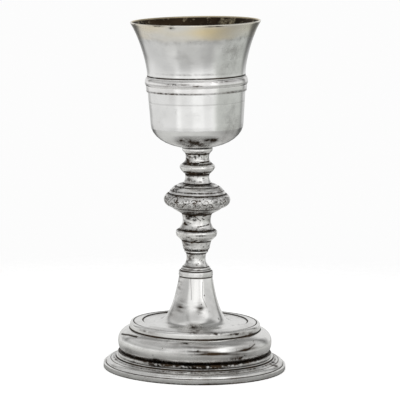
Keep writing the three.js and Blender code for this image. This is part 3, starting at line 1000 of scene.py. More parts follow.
@dataclass
class LowerStem(TurnedPiece):
    """The cast lower stem: seat, waist, vase, ring and neck."""

    node: str = "lower_stem"
    slot: str = "stem_silver"
    sides: int = 220
    spacing: float = 0.4
    softness: float = 0.18
    stains_and_painted_shading: tuple[Stain, ...] = (
        Stain(-30, 38.6, 4.0, 1.6, 0.5),
        Stain(-8, 36.4, 1.6, 0.9, 0.5),
        Stain(12, 25.8, 3.4, 0.6, 0.9),
        Stain(-24, 24.6, 1.6, 0.5, 0.7),
        Stain(-44, 18.4, 3.0, 2.0, 0.3),
        Stain(-23, 12.2, 2.4, 0.6, 0.8),
        Stain(26, 12.6, 2.8, 0.4, 0.6),
        Stain(-19, 9.3, 0.6, 0.5, 0.8),
        Stain(45, 6.4, 0.6, 0.5, 0.7),
        Stain(4, 4.6, 0.8, 0.4, 0.7),
        Stain(0, 15.0, ALL_ROUND, 0.55, 0.8),
        Stain(0, 28.7, ALL_ROUND, 0.85, 1.0),
        Stain(140, 34.0, 6.0, 2.5, 0.4),
        Stain(-150, 18.0, 5.0, 3.0, 0.4),
    )
    smudges_and_painted_shadow: tuple[Stain, ...] = (
        Stain(-26, 37.4, 4.6, 3.4, 0.42),
        Stain(-58, 33.0, 4.0, 4.0, 0.35),
        Stain(-46, 19.6, 5.0, 3.8, 0.5),
        # Painted shadow under the ring
        Stain(0, 21.4, 8.0, 0.9, 0.6),
        Stain(-54, 8.5, 4.0, 5.0, 0.5),
        Stain(0, 2.0, 9.0, 1.4, 0.4),
        Stain(66, 36.0, 3.0, 4.0, 0.3),
    )
    strokes: tuple[Stroke, ...] = (
        Stroke(((-14, 39.1), (2, 37.4), (17, 35.4)), 0.22, 0.06),
        Stroke(((22, 37.2), (32, 36.2)), 0.26, 0.09),
        Stroke(((24, 38.6), (38, 39.0)), 0.26, 0.09),
        Stroke(((4, 31.6), (9, 31.6)), 0.26, 0.1),
        Stroke(((13, 31.8), (19, 31.9)), 0.26, 0.1),
        Stroke(((24, 32.0), (33, 32.2)), 0.26, 0.1),
        Stroke(((40, 32.3), (58, 33.0)), 0.26, 0.1),
        Stroke(((-60, 33.0), (-44, 32.4)), 0.26, 0.08),
    )
    specks: tuple[Specks, ...] = (
        Specks(60, 16.0, 23.5, 11),
        Specks(34, 30.0, 39.5, 12),
        Specks(26, 3.0, 15.0, 13),
    )
    seat_radius: float = 10.7
    seat_rise: float = 1.0
    seat_step: float = 0.5
    seat_upper_rise: float = 1.4
    seat_top_radius: float = 9.1
    waist_radius: float = 6.5
    waist_lower_rise: float = 6.0
    waist_upper_rise: float = 4.2
    fillet_radius: float = 8.2
    fillet_rise: float = 1.6
    vase_radius: float = 9.35
    vase_lower_rise: float = 2.4
    vase_upper_rise: float = 4.0
    ring_under_radius: float = 10.3
    ring_radius: float = 14.3
    ring_slope_rise: float = 3.2
    ring_slope_radius: float = 13.7
    ring_edge_rise: float = 2.4
    ring_top_radius: float = 13.0
    ring_top_rise: float = 1.8
    neck_foot_radius: float = 12.7
    neck_radius: float = 9.65
    neck_lower_rise: float = 7.0
    neck_upper_rise: float = 4.9
    top_radius: float = 11.5

    def outline(self) -> Profile:
        """From the seat on the foot's ring to the knop."""
        made = Profile(0).line(self.seat_radius)
        made.line(self.seat_radius - self.seat_step / 2, self.seat_rise)
        made.line(self.seat_radius - self.seat_step)
        made.line(self.seat_radius - 2 * self.seat_step, self.seat_upper_rise)
        made.line(self.seat_top_radius, self.seat_step / 2)
        made.flare(self.waist_radius, self.waist_lower_rise)
        made.turn_in(self.fillet_radius, self.waist_upper_rise)
        made.line(self.fillet_radius, self.fillet_rise).turn_up(self.vase_radius, self.vase_lower_rise)
        made.line(self.ring_under_radius, self.vase_upper_rise)
        made.line(self.ring_slope_radius, self.ring_slope_rise)
        made.line(self.ring_radius, self.ring_edge_rise).turn_in(self.ring_top_radius, self.ring_top_rise)
        made.line(self.neck_foot_radius).flare(self.neck_radius, self.neck_lower_rise)
        return made.turn_in(self.top_radius, self.neck_upper_rise).line(0)


class Scroll(Enum):
    """Which way a chased scroll of the knop's band curls."""

    UP = 1
    DOWN = -1


@dataclass
class Knop(TurnedPiece):
    """The cast knop, with running scrolls chased round its band."""

    node: str = "knop"
    slot: str = "knop_silver"
    sides: int = 540
    spacing: float = 0.36
    softness: float = 0.14
    stains_and_painted_shading: tuple[Stain, ...] = (
        Stain(0, 8.6, ALL_ROUND, 3.4, 0.1),
        Stain(0, 4.0, ALL_ROUND, 0.5, 0.7),
        Stain(0, 13.3, ALL_ROUND, 0.5, 0.8),
        Stain(4, 15.5, 10.0, 0.45, 1.0),
        Stain(0, 15.5, ALL_ROUND, 0.3, 0.5),
        Stain(0, 18.3, ALL_ROUND, 0.3, 0.6),
        Stain(-37, 20.0, 1.9, 0.7, 1.0),
        Stain(40, 19.9, 2.4, 0.7, 1.0),
        Stain(0, 20.2, 4.0, 0.4, 0.6),
        Stain(-62, 16.6, 5.0, 1.6, 0.6),
        Stain(70, 17.0, 4.0, 1.4, 0.4),
        Stain(-30, 1.6, 7.0, 1.1, 0.6),
        Stain(25, 1.4, 6.0, 0.8, 0.4),
    )
    smudges_and_painted_shadow: tuple[Stain, ...] = (Stain(4, 1.4, 9.0, 1.8, 0.6), Stain(-60, 9.0, 8.0, 4.0, 0.25))
    stroke_tarnish: float = 5.0
    top_seam: float = 0.3
    specks: tuple[Specks, ...] = (Specks(150, 4.6, 12.8, 21), Specks(30, 15.6, 19.8, 22))
    seat_radius: float = 11.5
    under_radius: float = 15.8
    under_rise: float = 2.4
    under_fillet_rise: float = 1.6
    line_depth: float = 0.4
    band_foot_radius: float = 18.0
    band_radius: float = 20.4
    band_rise: float = 9.3
    band_lower_arm: tuple[float, float] = (5.5, 1.6)
    band_upper_arm: tuple[float, float] = (-3.9, 2.7)
    band_reach: float = 22.6
    fillet_foot_radius: float = 20.0
    fillet_radius: float = 18.5
    fillet_rise: float = 2.2
    step_radius: float = 14.9
    step_rise: float = 2.8
    step_bulge: float = 0.5
    collar_radius: float = 12.0
    collar_rise: float = 1.5
    collar_bulge: float = 0.35
    top_radius: float = 11.2
    top_rise: float = 0.4
    chasing_width: float = 0.2
    chasing_depth: float = 0.14
    scrolls: int = 20
    scroll_rows: tuple[float, float] = (1.6, -1.5)
    row_shift: float = 0.25
    scroll_drift: float = 0.2
    scroll_climb: float = 0.5
    scroll_reach: float = 1.5
    scroll_sizes: tuple[float, float] = (0.7, 1.25)
    scroll_depths: tuple[float, float] = (0.5, 1.3)
    scroll_turn: float = 2.3
    scroll_points: int = 13
    scroll_open: float = 1.5
    scroll_close: float = 1.75
    scroll_stretch: float = 1.3
    leaf_rise: float = 0.6
    leaf_leans: tuple[float, float, float] = (-1.0, 0.1, 1.1)
    leaf_start: float = 0.15
    leaf_points: int = 4
    leaf_length: float = 3.0
    leaf_spread: float = 1.7
    leaf_depths: tuple[float, float] = (0.4, 1.2)
    cuts: int = 7
    cut_field: float = 3.9
    cut_reach: float = 1.0
    cut_rise: float = 0.6
    cut_depths: tuple[float, float] = (0.4, 1.5)
    seed: int = 7

    def outline(self) -> Profile:
        """From the seat on the lower stem, round the band and up the stepped shoulder."""
        made = Profile(0).line(self.seat_radius).line(self.under_radius, self.under_rise)
        made.line(self.band_foot_radius - self.line_depth, self.under_fillet_rise).line(self.band_foot_radius)
        made.sweep(self.band_radius, self.band_rise, self.band_lower_arm, self.band_upper_arm)
        made.line(self.fillet_foot_radius).line(self.fillet_radius, self.fillet_rise)
        made.line(self.fillet_radius - self.line_depth)
        made.bead(self.step_radius, self.step_rise, self.step_bulge)
        made.line(self.step_radius - self.line_depth)
        made.bead(self.collar_radius, self.collar_rise, self.collar_bulge)
        return made.line(self.top_radius, self.top_rise).line(0)

    def chasing(self) -> tuple[Stroke, ...]:
        """The band's strokes: two uneven rows of small scrolls, with short cuts strewn between them."""
        chance = random.Random(self.seed)
        middle = self.under_rise + self.under_fillet_rise + self.band_rise / 2
        pitch = 360 / self.scrolls
        strokes = []
        for k in range(self.scrolls):
            way = Scroll.UP if k % 2 else Scroll.DOWN
            for row in self.scroll_rows:
                drift = chance.uniform(-self.scroll_drift, self.scroll_drift)
                centre = (k + 0.5 + self.row_shift * row + drift) * pitch
                height = middle + row + chance.uniform(-self.scroll_climb, self.scroll_climb)
                strokes.append(self._spiral(centre, height, way, chance))
            leaf_height = middle + self.leaf_rise * way.value
            strokes.extend(self._leaf(centre + pitch / 2, leaf_height, way, chance))
            strokes.extend(self._cut(k * pitch, pitch, middle, chance) for _ in range(self.cuts))
        return tuple(strokes)

    def _degrees(self, across: float) -> float:
        """Turns a length along the band into an angle."""
        return math.degrees(across / self.band_reach)

    def _spiral(self, angle: float, height: float, way: Scroll, chance: random.Random) -> Stroke:
        """A scroll that trails off on one side and winds in by a turn.

        Args:
            angle: Its middle round the band.
            height: Its middle above the seat.
            way: Which way it curls.
            chance: Picks its size and how deep it is cut.

        Returns:
            The stroke.
        """
        size = self.scroll_reach * chance.uniform(*self.scroll_sizes)
        points = []
        for t in np.linspace(0, self.scroll_turn * math.pi, self.scroll_points):
            reach = size * (self.scroll_open - t / (self.scroll_close * math.pi))
            across = -reach * math.cos(t) * self.scroll_stretch
            points.append((angle + self._degrees(across), height + way.value * reach * math.sin(t)))
        depth = self.chasing_depth * chance.uniform(*self.scroll_depths)
        return Stroke(tuple(points), self.chasing_width, depth)

    def _leaf(self, angle: float, height: float, way: Scroll, chance: random.Random) -> list[Stroke]:
        """Three veins that spread apart from one point."""
        veins = []
        for lean in self.leaf_leans:
            points = []
            for t in np.linspace(self.leaf_start, 1, self.leaf_points):
                across = way.value * (t - 0.5) * self.leaf_length
                points.append((angle + self._degrees(across), height + lean * self.leaf_spread * t * t))
            depth = self.chasing_depth * chance.uniform(*self.leaf_depths)
            veins.append(Stroke(tuple(points), self.chasing_width, depth))
        return veins

    def _cut(self, angle: float, pitch: float, middle: float, chance: random.Random) -> Stroke:
        """A short slanting cut somewhere in one stretch of the band.

        Args:
            angle: Where the stretch starts.
            pitch: Its length.
            middle: The band's middle above the seat.
            chance: Picks the place, the slant and the depth.

        Returns:
            The stroke.
        """
        start = angle + pitch * chance.random()
        height = middle + chance.uniform(-self.cut_field, self.cut_field)
        reach = chance.uniform(-self.cut_reach, self.cut_reach)
        rise = chance.uniform(-self.cut_rise, self.cut_rise)
        ends = ((start, height), (start + self._degrees(reach), height + rise))
        return Stroke(ends, self.chasing_width, self.chasing_depth * chance.uniform(*self.cut_depths))


@dataclass
class UpperStem(TurnedPiece):
    """The cast upper stem: neck, ring, throat and the collar under the cup."""

    node: str = "upper_stem"
    slot: str = "stem_silver"
    sides: int = 200
    spacing: float = 0.4
    softness: float = 0.18
    stains_and_painted_shading: tuple[Stain, ...] = (
        Stain(37, 20.8, 0.9, 0.8, 1.0),
        Stain(-48, 20.0, 0.8, 0.7, 0.9),
        Stain(-12, 18.4, 3.0, 1.2, 0.4),
        Stain(10, 22.2, 4.0, 0.7, 0.5),
        # The next three: painted shadow under the ring
        Stain(-26, 8.0, 3.4, 0.8, 1.0),
        Stain(30, 7.7, 3.0, 0.5, 0.7),
        Stain(0, 8.3, ALL_ROUND, 0.6, 0.9),
        Stain(-44, 14.0, 4.0, 0.6, 1.0),
        Stain(0, 13.8, ALL_ROUND, 0.35, 0.7),
        Stain(-54, 17.5, 3.0, 3.0, 0.4),
        Stain(-20, 2.2, 4.0, 0.8, 0.4),
        Stain(165, 16.0, 4.0, 3.0, 0.4),
    )
    smudges_and_painted_shadow: tuple[Stain, ...] = (
        Stain(-46, 4.6, 5.0, 3.4, 0.35),
        # Painted shadow under the ring
        Stain(0, 7.4, 9.0, 0.9, 0.35),
        Stain(-60, 17.0, 3.0, 3.0, 0.4),
    )
    strokes: tuple[Stroke, ...] = (
        Stroke(((-50, 14.7), (-4, 14.6), (6, 14.8)), 0.3, 0.14),
        Stroke(((12, 15.2), (64, 15.4)), 0.3, 0.14),
        Stroke(((-12, 19.8), (-8, 18.6)), 0.22, 0.08),
        Stroke(((20, 18.8), (24, 17.8)), 0.22, 0.08),
    )
    top_seam: float = 0.3
    specks: tuple[Specks, ...] = (Specks(120, 14.4, 21.0, 31), Specks(36, 1.0, 7.0, 32))
    seat_radius: float = 9.9
    neck_radius: float = 8.2
    neck_lower_rise: float = 4.7
    neck_upper_rise: float = 2.5
    fillet_radius: float = 9.7
    fillet_rise: float = 1.0
    ring_under_radius: float = 10.4
    ring_radius: float = 12.2
    ring_lower_rise: float = 3.0
    ring_swell: float = 0.2
    ring_upper_rise: float = 2.1
    ledge_radius: float = 10.1
    ledge_rise: float = 0.6
    throat_foot_radius: float = 9.8
    throat_radius: float = 8.0
    throat_lower_rise: float = 4.0
    throat_upper_rise: float = 3.4
    collar_under_radius: float = 9.2
    collar_radius: float = 10.5
    collar_slope_rise: float = 1.7
    collar_rise: float = 1.4

    def outline(self) -> Profile:
        """From the knop's top to the cup."""
        made = Profile(0).line(self.seat_radius).flare(self.neck_radius, self.neck_lower_rise)
        made.turn_in(self.fillet_radius, self.neck_upper_rise).line(self.fillet_radius, self.fillet_rise)
        made.line(self.ring_under_radius).bead(self.ring_radius, self.ring_lower_rise, self.ring_swell)
        made.turn_in(self.ledge_radius, self.ring_upper_rise).line(self.ledge_radius, self.ledge_rise)
        made.line(self.throat_foot_radius).flare(self.throat_radius, self.throat_lower_rise)
        made.turn_in(self.collar_under_radius, self.throat_upper_rise)
        made.line(self.collar_radius, self.collar_slope_rise).line(self.collar_radius, self.collar_rise)
        return made.line(0)


@dataclass
class Cup(TurnedPiece):
    """The raised cup with true walls, gilt inside and just over the lip."""

    node: str = "cup"
    slot: str = "cup_silver"
    sides: int = 300
    spacing: float = 1.2
    unevenness: float = 0.1
    wall: float = 1.2
    seat_radius: float = 5.0
    bowl_radius: float = 31.9
    bowl_rise: float = 17.0
    waist_radius: float = 33.7
    side_rise: float = 34.0
    side_lower_arm: tuple[float, float] = (0.6, 11.3)
    side_upper_arm: tuple[float, float] = (-0.2, 11.3)
    lip_radius: float = 44.6
    flare_rise: float = 35.0
    flare_start: float = 6.0
    lip_spread: float = 6.6
    lip_drop: float = 10.6
    gilt_drop: float = 9.3
    gilt_swing: float = 1.7
    gilt_lowest: float = -24.0
    gilt_edge: float = 0.45
    gilt_inside: float = 0.9
    gilt_bright: Stain = Stain(14, 81.0, 13.0, 4.5, 0.7)
    gilt_worn: float = 0.28
    gilt_swell: float = 0.35
    gilt_swell_scale: float = 5.0
    gilt_swell_seed: float = 9.1
    gilt_least: float = 0.15
    gilt_waves: tuple[tuple[float, float, float], ...] = ((1.1, 3.0, 4.2), (0.8, 1.3, 7.7))
    edge_grey: float = 0.13
    edge_drop: float = 0.9
    edge_width: float = 1.6
    low_seam: float = 0.2
    top_seam: float = 0.0
    # Inside the cup the gold is made darker below the lip
    inside_darkening: float = 0.84
    inside_darkening_start: float = 1.2
    stains_and_painted_shading: tuple[Stain, ...] = (
        Stain(-21, 85.2, 1.7, 0.8, 1.0),
        Stain(-35, 86.3, 5.0, 0.35, 0.8),
        Stain(17, 86.0, 6.5, 0.35, 0.7),
        Stain(-66, 86.2, 1.4, 0.5, 0.7),
        Stain(42, 64.0, 10.0, 12.0, 0.2),
        Stain(-16, 64.0, 6.0, 2.4, 0.16),
        Stain(-8, 60.5, 5.0, 1.5, 0.1),
        Stain(47, 20.0, 9.0, 13.0, 0.17),
        Stain(-4, 52.8, 22.0, 0.6, 0.3),
        # The next four: painted dark reflection of the stem on the bowl's underside, in front
        Stain(-17, 7.4, 4.6, 2.2, 0.8),
        Stain(22, 7.8, 5.4, 1.4, 0.7),
        Stain(4, 4.6, 6.0, 1.4, 0.7),
        Stain(0, 5.4, 15.0, 3.2, 0.4),
        Stain(150, 30.0, 12.0, 9.0, 0.2),
        Stain(-130, 66.0, 10.0, 8.0, 0.15),
        Stain(168, 85.0, 9.0, 0.6, 0.6),
    )
    dents: tuple[Dent, ...] = (
        Dent(-21, 85.6, 1.6, 0.35),
        Dent(-63, 60.0, 5.0, 0.16),
        Dent(30, 26.0, 7.0, 0.16),
        Dent(-48, 20.0, 6.0, 0.18),
        Dent(140, 70.0, 6.0, 0.2),
        Dent(-155, 24.0, 8.0, 0.22),
    )
    engraved_height: float = 31.9
    engraved_width: float = 0.5
    engraved_depth: float = 0.05
    engraved_dark: float = 0.1
    seam_height: float = 49.85
    seam_dark: float = 1.15
    line_width: float = 0.5
    line_step: float = 0.28
    line_rows: int = 4

    def face(self) -> Profile:
        """The outer face, from the bottom's middle to the lip, with more points beside its fine lines."""
        made = Profile(0).line(self.seat_radius).turn_up(self.bowl_radius, self.bowl_rise)
        made.sweep(self.waist_radius, self.side_rise, self.side_lower_arm, self.side_upper_arm)
        leave, arrive = (0.0, self.flare_start), (self.lip_spread, self.lip_drop)
        made.sweep(self.lip_radius, self.flare_rise, leave, arrive)
        radii, heights = np.array(made.points).T
        for line in (self.engraved_height, self.seam_height):
            steps = range(-self.line_rows, self.line_rows + 1)
            rows = [line + k * self.line_step for k in steps]
            made.points += [(float(np.interp(row, heights, radii)), row) for row in rows]
        made.points.sort(key=lambda point: point[1])
        return made

    def outline(self) -> Profile:
        """The outer face, the rounded lip and the inner face."""
        made = self.face()
        outer = np.array(made.points)
        along = np.gradient(outer, axis=0)
        along /= np.linalg.norm(along, axis=1)[:, None]
        inner = outer + np.column_stack((-along[:, 1], along[:, 0])) * self.wall
        inner[0, 0] = 0.0
        made.bead(inner[-1, 0], inner[-1, 1] - outer[-1, 1], self.wall / 2)
        made.points += [tuple(p) for p in inner[-2::-1]]
        return made

    @staticmethod
    def _outside(points: np.ndarray) -> np.ndarray:
        """Which points of the outline are on the outside, up to the top of the lip."""
        return np.arange(len(points)) <= points[:, 1].argmax()

    def relief(self, angles: np.ndarray, points: np.ndarray) -> np.ndarray:
        """The fine line engraved round the bowl."""
        gap = (points[:, 1] - self.engraved_height) / self.engraved_width
        line = -self.engraved_depth * self._outside(points) * np.exp(-(gap**2))
        return np.repeat(line[:, None], len(angles), 1)

    def _below_gilding(self, angles: np.ndarray, points: np.ndarray) -> np.ndarray:
        """How far each place lies below the gilding's edge; a wave is its height, scale and seed."""
        swing = self.gilt_swing * np.cos(angles - math.radians(self.gilt_lowest))
        waves = np.zeros(len(angles))
        for high, scale, seed in self.gilt_waves:
            waves += high * ripples(angles, np.zeros(1), scale, seed)[0]
        drop = self.gilt_drop + swing + waves
        return points[:, 1].max() - points[:, 1:] - drop[None, :]

    def gilding(self, angles: np.ndarray, points: np.ndarray) -> np.ndarray:
        """Gold inside, over the lip and down to a wavy edge on the flare, worn thin in places."""
        swells = ripples(angles, points[:, 1], self.gilt_swell_scale, self.gilt_swell_seed)
        worn = self.gilt_worn + self.gilt_swell * swells
        bright = self._patched((self.gilt_bright,), angles, points)
        below = self._below_gilding(angles, points)
        gold = np.clip(worn + bright, self.gilt_least, 1.0) / (1 + np.exp(below / self.gilt_edge))
        return np.where(self._outside(points)[:, None], gold, self.gilt_inside)

    def _darker_inside(self, points: np.ndarray) -> np.ndarray:
        """How much darker each point of the outline is made: none outside, all of it below the lip."""
        below = points[:, 1].max() - points[:, 1]
        return ~self._outside(points) * np.clip(below / self.inside_darkening_start, 0, 1)

    def _hollow(self, points: np.ndarray, normals: np.ndarray) -> np.ndarray:
        """Dark where any turned piece is, over the band, a little in the engraved line, and darker inside the
        cup.
        """
        height = points[:, 1]
        lines = np.zeros(len(points))
        for line, dark in ((self.seam_height, self.seam_dark), (self.engraved_height, self.engraved_dark)):
            lines += self._outside(points) * dark * np.exp(-(((height - line) / self.line_width) ** 2))
        hollow = np.maximum(super()._hollow(points, normals), lines)
        return np.maximum(hollow, self._darker_inside(points) * self.inside_darkening)

    def _stained_and_shaded(self, angles: np.ndarray, points: np.ndarray) -> np.ndarray:
        """The tarnish patches, with the painted dark reflection of the stem among them, and the gilding's
        grey edge, all on the outside.
        """
        gap = (self._below_gilding(angles, points) - self.edge_drop) / self.edge_width
        stain = super()._stained_and_shaded(angles, points) + np.exp(-(gap**2)) * self.edge_grey
        return np.clip(stain, 0, 1) * self._outside(points)[:, None]


@dataclass
class CupBand:
    """The moulded wire bent round the cup: a flat strip over a round bead."""

    node: str = "cup_band"
    slot: str = "band_silver"
    height: float = 39.6
    clearance: float = 0.3
    foot: float = 0.25
    bead_rise: float = 5.4
    bead_bulge: float = 1.0
    bead_top: float = 0.5
    strip_rise: float = 4.3
    strip_foot: float = 0.7
    strip_top: float = 0.3
    softness: float = 0.2
    spacing: float = 0.7
    sides: int = 300
    hollow_width: float = 0.45
    seam_darks: tuple[float, float, float] = (0.4, 0.3, 1.0)
    stains_and_painted_shading: tuple[Stain, ...] = (
        Stain(-21, 46.3, 7.5, 0.5, 0.85),
        Stain(1, 45.3, 2.6, 0.4, 0.8),
        Stain(1, 51.3, 0.7, 0.4, 0.8),
        Stain(20, 51.0, 0.7, 0.4, 0.7),
        Stain(34, 47.6, 11.0, 0.35, 0.6),
        Stain(-30, 39.9, 18.0, 0.5, 0.6),
        Stain(50, 40.2, 14.0, 0.5, 0.5),
        Stain(160, 46.0, 9.0, 0.5, 0.6),
    )
    place: Matrix = field(default_factory=lambda: Matrix.Identity(4))

    def section(self, face: Profile) -> np.ndarray:
        """The wire's closed section.

        Args:
            face: The cup's outer face.

        Returns:
            Its points, radius and height.
        """
        groove = self.height + self.bead_rise
        top = groove + self.strip_rise
        radii, heights = np.array(face.points).T
        places = np.interp((self.height, groove, top), heights, radii)
        low, middle, high = (float(place) + self.clearance for place in places)
        made = Profile(low, self.height).line(low + self.foot)
        made.bead(middle + self.bead_top, self.bead_rise, self.bead_bulge)
        made.line(middle + self.strip_foot).line(high + self.strip_top, self.strip_rise).line(high)
        made.line(low, self.height - top)
        return made.finished(self.softness, self.spacing)[:-1]

    def tree(self, material: bpy.types.Material) -> bpy.types.NodeTree:
        """The rule that bends a section round a circle.

        Args:
            material: The wire's finish.

        Returns:
            The node tree, whose inputs are the section's radius and the number of sides.
        """
        tree = bpy.data.node_groups.new("bend wire round the cup", "GeometryNodeTree")
        for name, kind in (("Geometry", "Geometry"), ("Radius", "Float"), ("Sides", "Int")):
            tree.interface.new_socket(name, in_out="INPUT", socket_type=f"NodeSocket{kind}")
        tree.interface.new_socket("Geometry", in_out="OUTPUT", socket_type="NodeSocketGeometry")
        graph = Graph(tree)
        given = graph.add("NodeGroupInput").outputs
        circle = {"Resolution": given["Sides"], "Radius": given["Radius"]}
        path = graph.add("GeometryNodeCurvePrimitiveCircle", circle).outputs["Curve"]
        section = graph.add("GeometryNodeMeshToCurve", {"Mesh": given["Geometry"]}).outputs["Curve"]
        bent = graph.add("GeometryNodeCurveToMesh", {"Curve": path, "Profile Curve": section})
        single = graph.add("GeometryNodeRealizeInstances", {"Geometry": bent.outputs["Mesh"]})
        dressing = {"Geometry": single.outputs["Geometry"], "Material": material}
        dressed = graph.add("GeometryNodeSetMaterial", dressing)
        graph.add("NodeGroupOutput", {"Geometry": dressed.outputs["Geometry"]})
        return tree

    def build(self, face: Profile, material: bpy.types.Material) -> bpy.types.Object:
        """Bends the wire and puts it on the cup.

        Args:
            face: The cup's outer face.
            material: The wire's finish.

        Returns:
            The finished object.
        """
        section = self.section(face)
        middle = section.mean(0)
        strip = bpy.data.meshes.new("wire section")
        count = len(section)
        vertices = [((r - middle[0]) * MM, (h - middle[1]) * MM, 0.0) for r, h in section]
        strip.from_pydata(vertices, [(i, (i + 1) % count) for i in range(count)], [])
        maker = linked("wire maker", strip)
        modifier = maker.modifiers.new("bend", "NODES")
        modifier.node_group = self.tree(material)
        given = modifier.node_group.interface.items_tree
        sockets = {socket.name: socket.identifier for socket in given if socket.in_out == "INPUT"}
        modifier[sockets["Radius"]] = float(middle[0]) * MM
        modifier[sockets["Sides"]] = self.sides
        mesh = bpy.data.meshes.new_from_object(maker.evaluated_get(bpy.context.evaluated_depsgraph_get()))
        bpy.data.objects.remove(maker)
        mesh.transform(Matrix.Translation((0, 0, float(middle[1]) * MM)))
        self._mark(mesh)
        return finish_piece(mesh, self.node, material, self.place)

    def _mark(self, mesh: bpy.types.Mesh) -> None:
        """Darkens the band's top seam and, less, its groove and bottom seam, and lays its patches."""
        place = np.array([v.co for v in mesh.vertices]) / MM
        height = place[:, 2]
        groove = self.height + self.bead_rise
        seams = (self.height, groove, groove + self.strip_rise)
        gaps = ((height - seam) / self.hollow_width for seam in seams)
        hollow = sum(dark * np.exp(-(gap**2)) for dark, gap in zip(self.seam_darks, gaps))
        angle = np.arctan2(place[:, 0], -place[:, 1])
        stain = patches(self.stains_and_painted_shading, angle, np.hypot(place[:, 0], place[:, 1]), height)
        for name, values in (("hollow", hollow), ("stain", stain), ("edge", np.zeros(len(height)))):
            mark_points(mesh, name, values)


@dataclass(frozen=True)
class SoftBox:
    """A soft light of the studio: where it hangs, how large it is and how bright."""

    azimuth: float
    elevation: float
    half_width: float
    half_height: float
    edge: float
    strength: float
    tint: Color = (1.0, 1.0, 1.0)


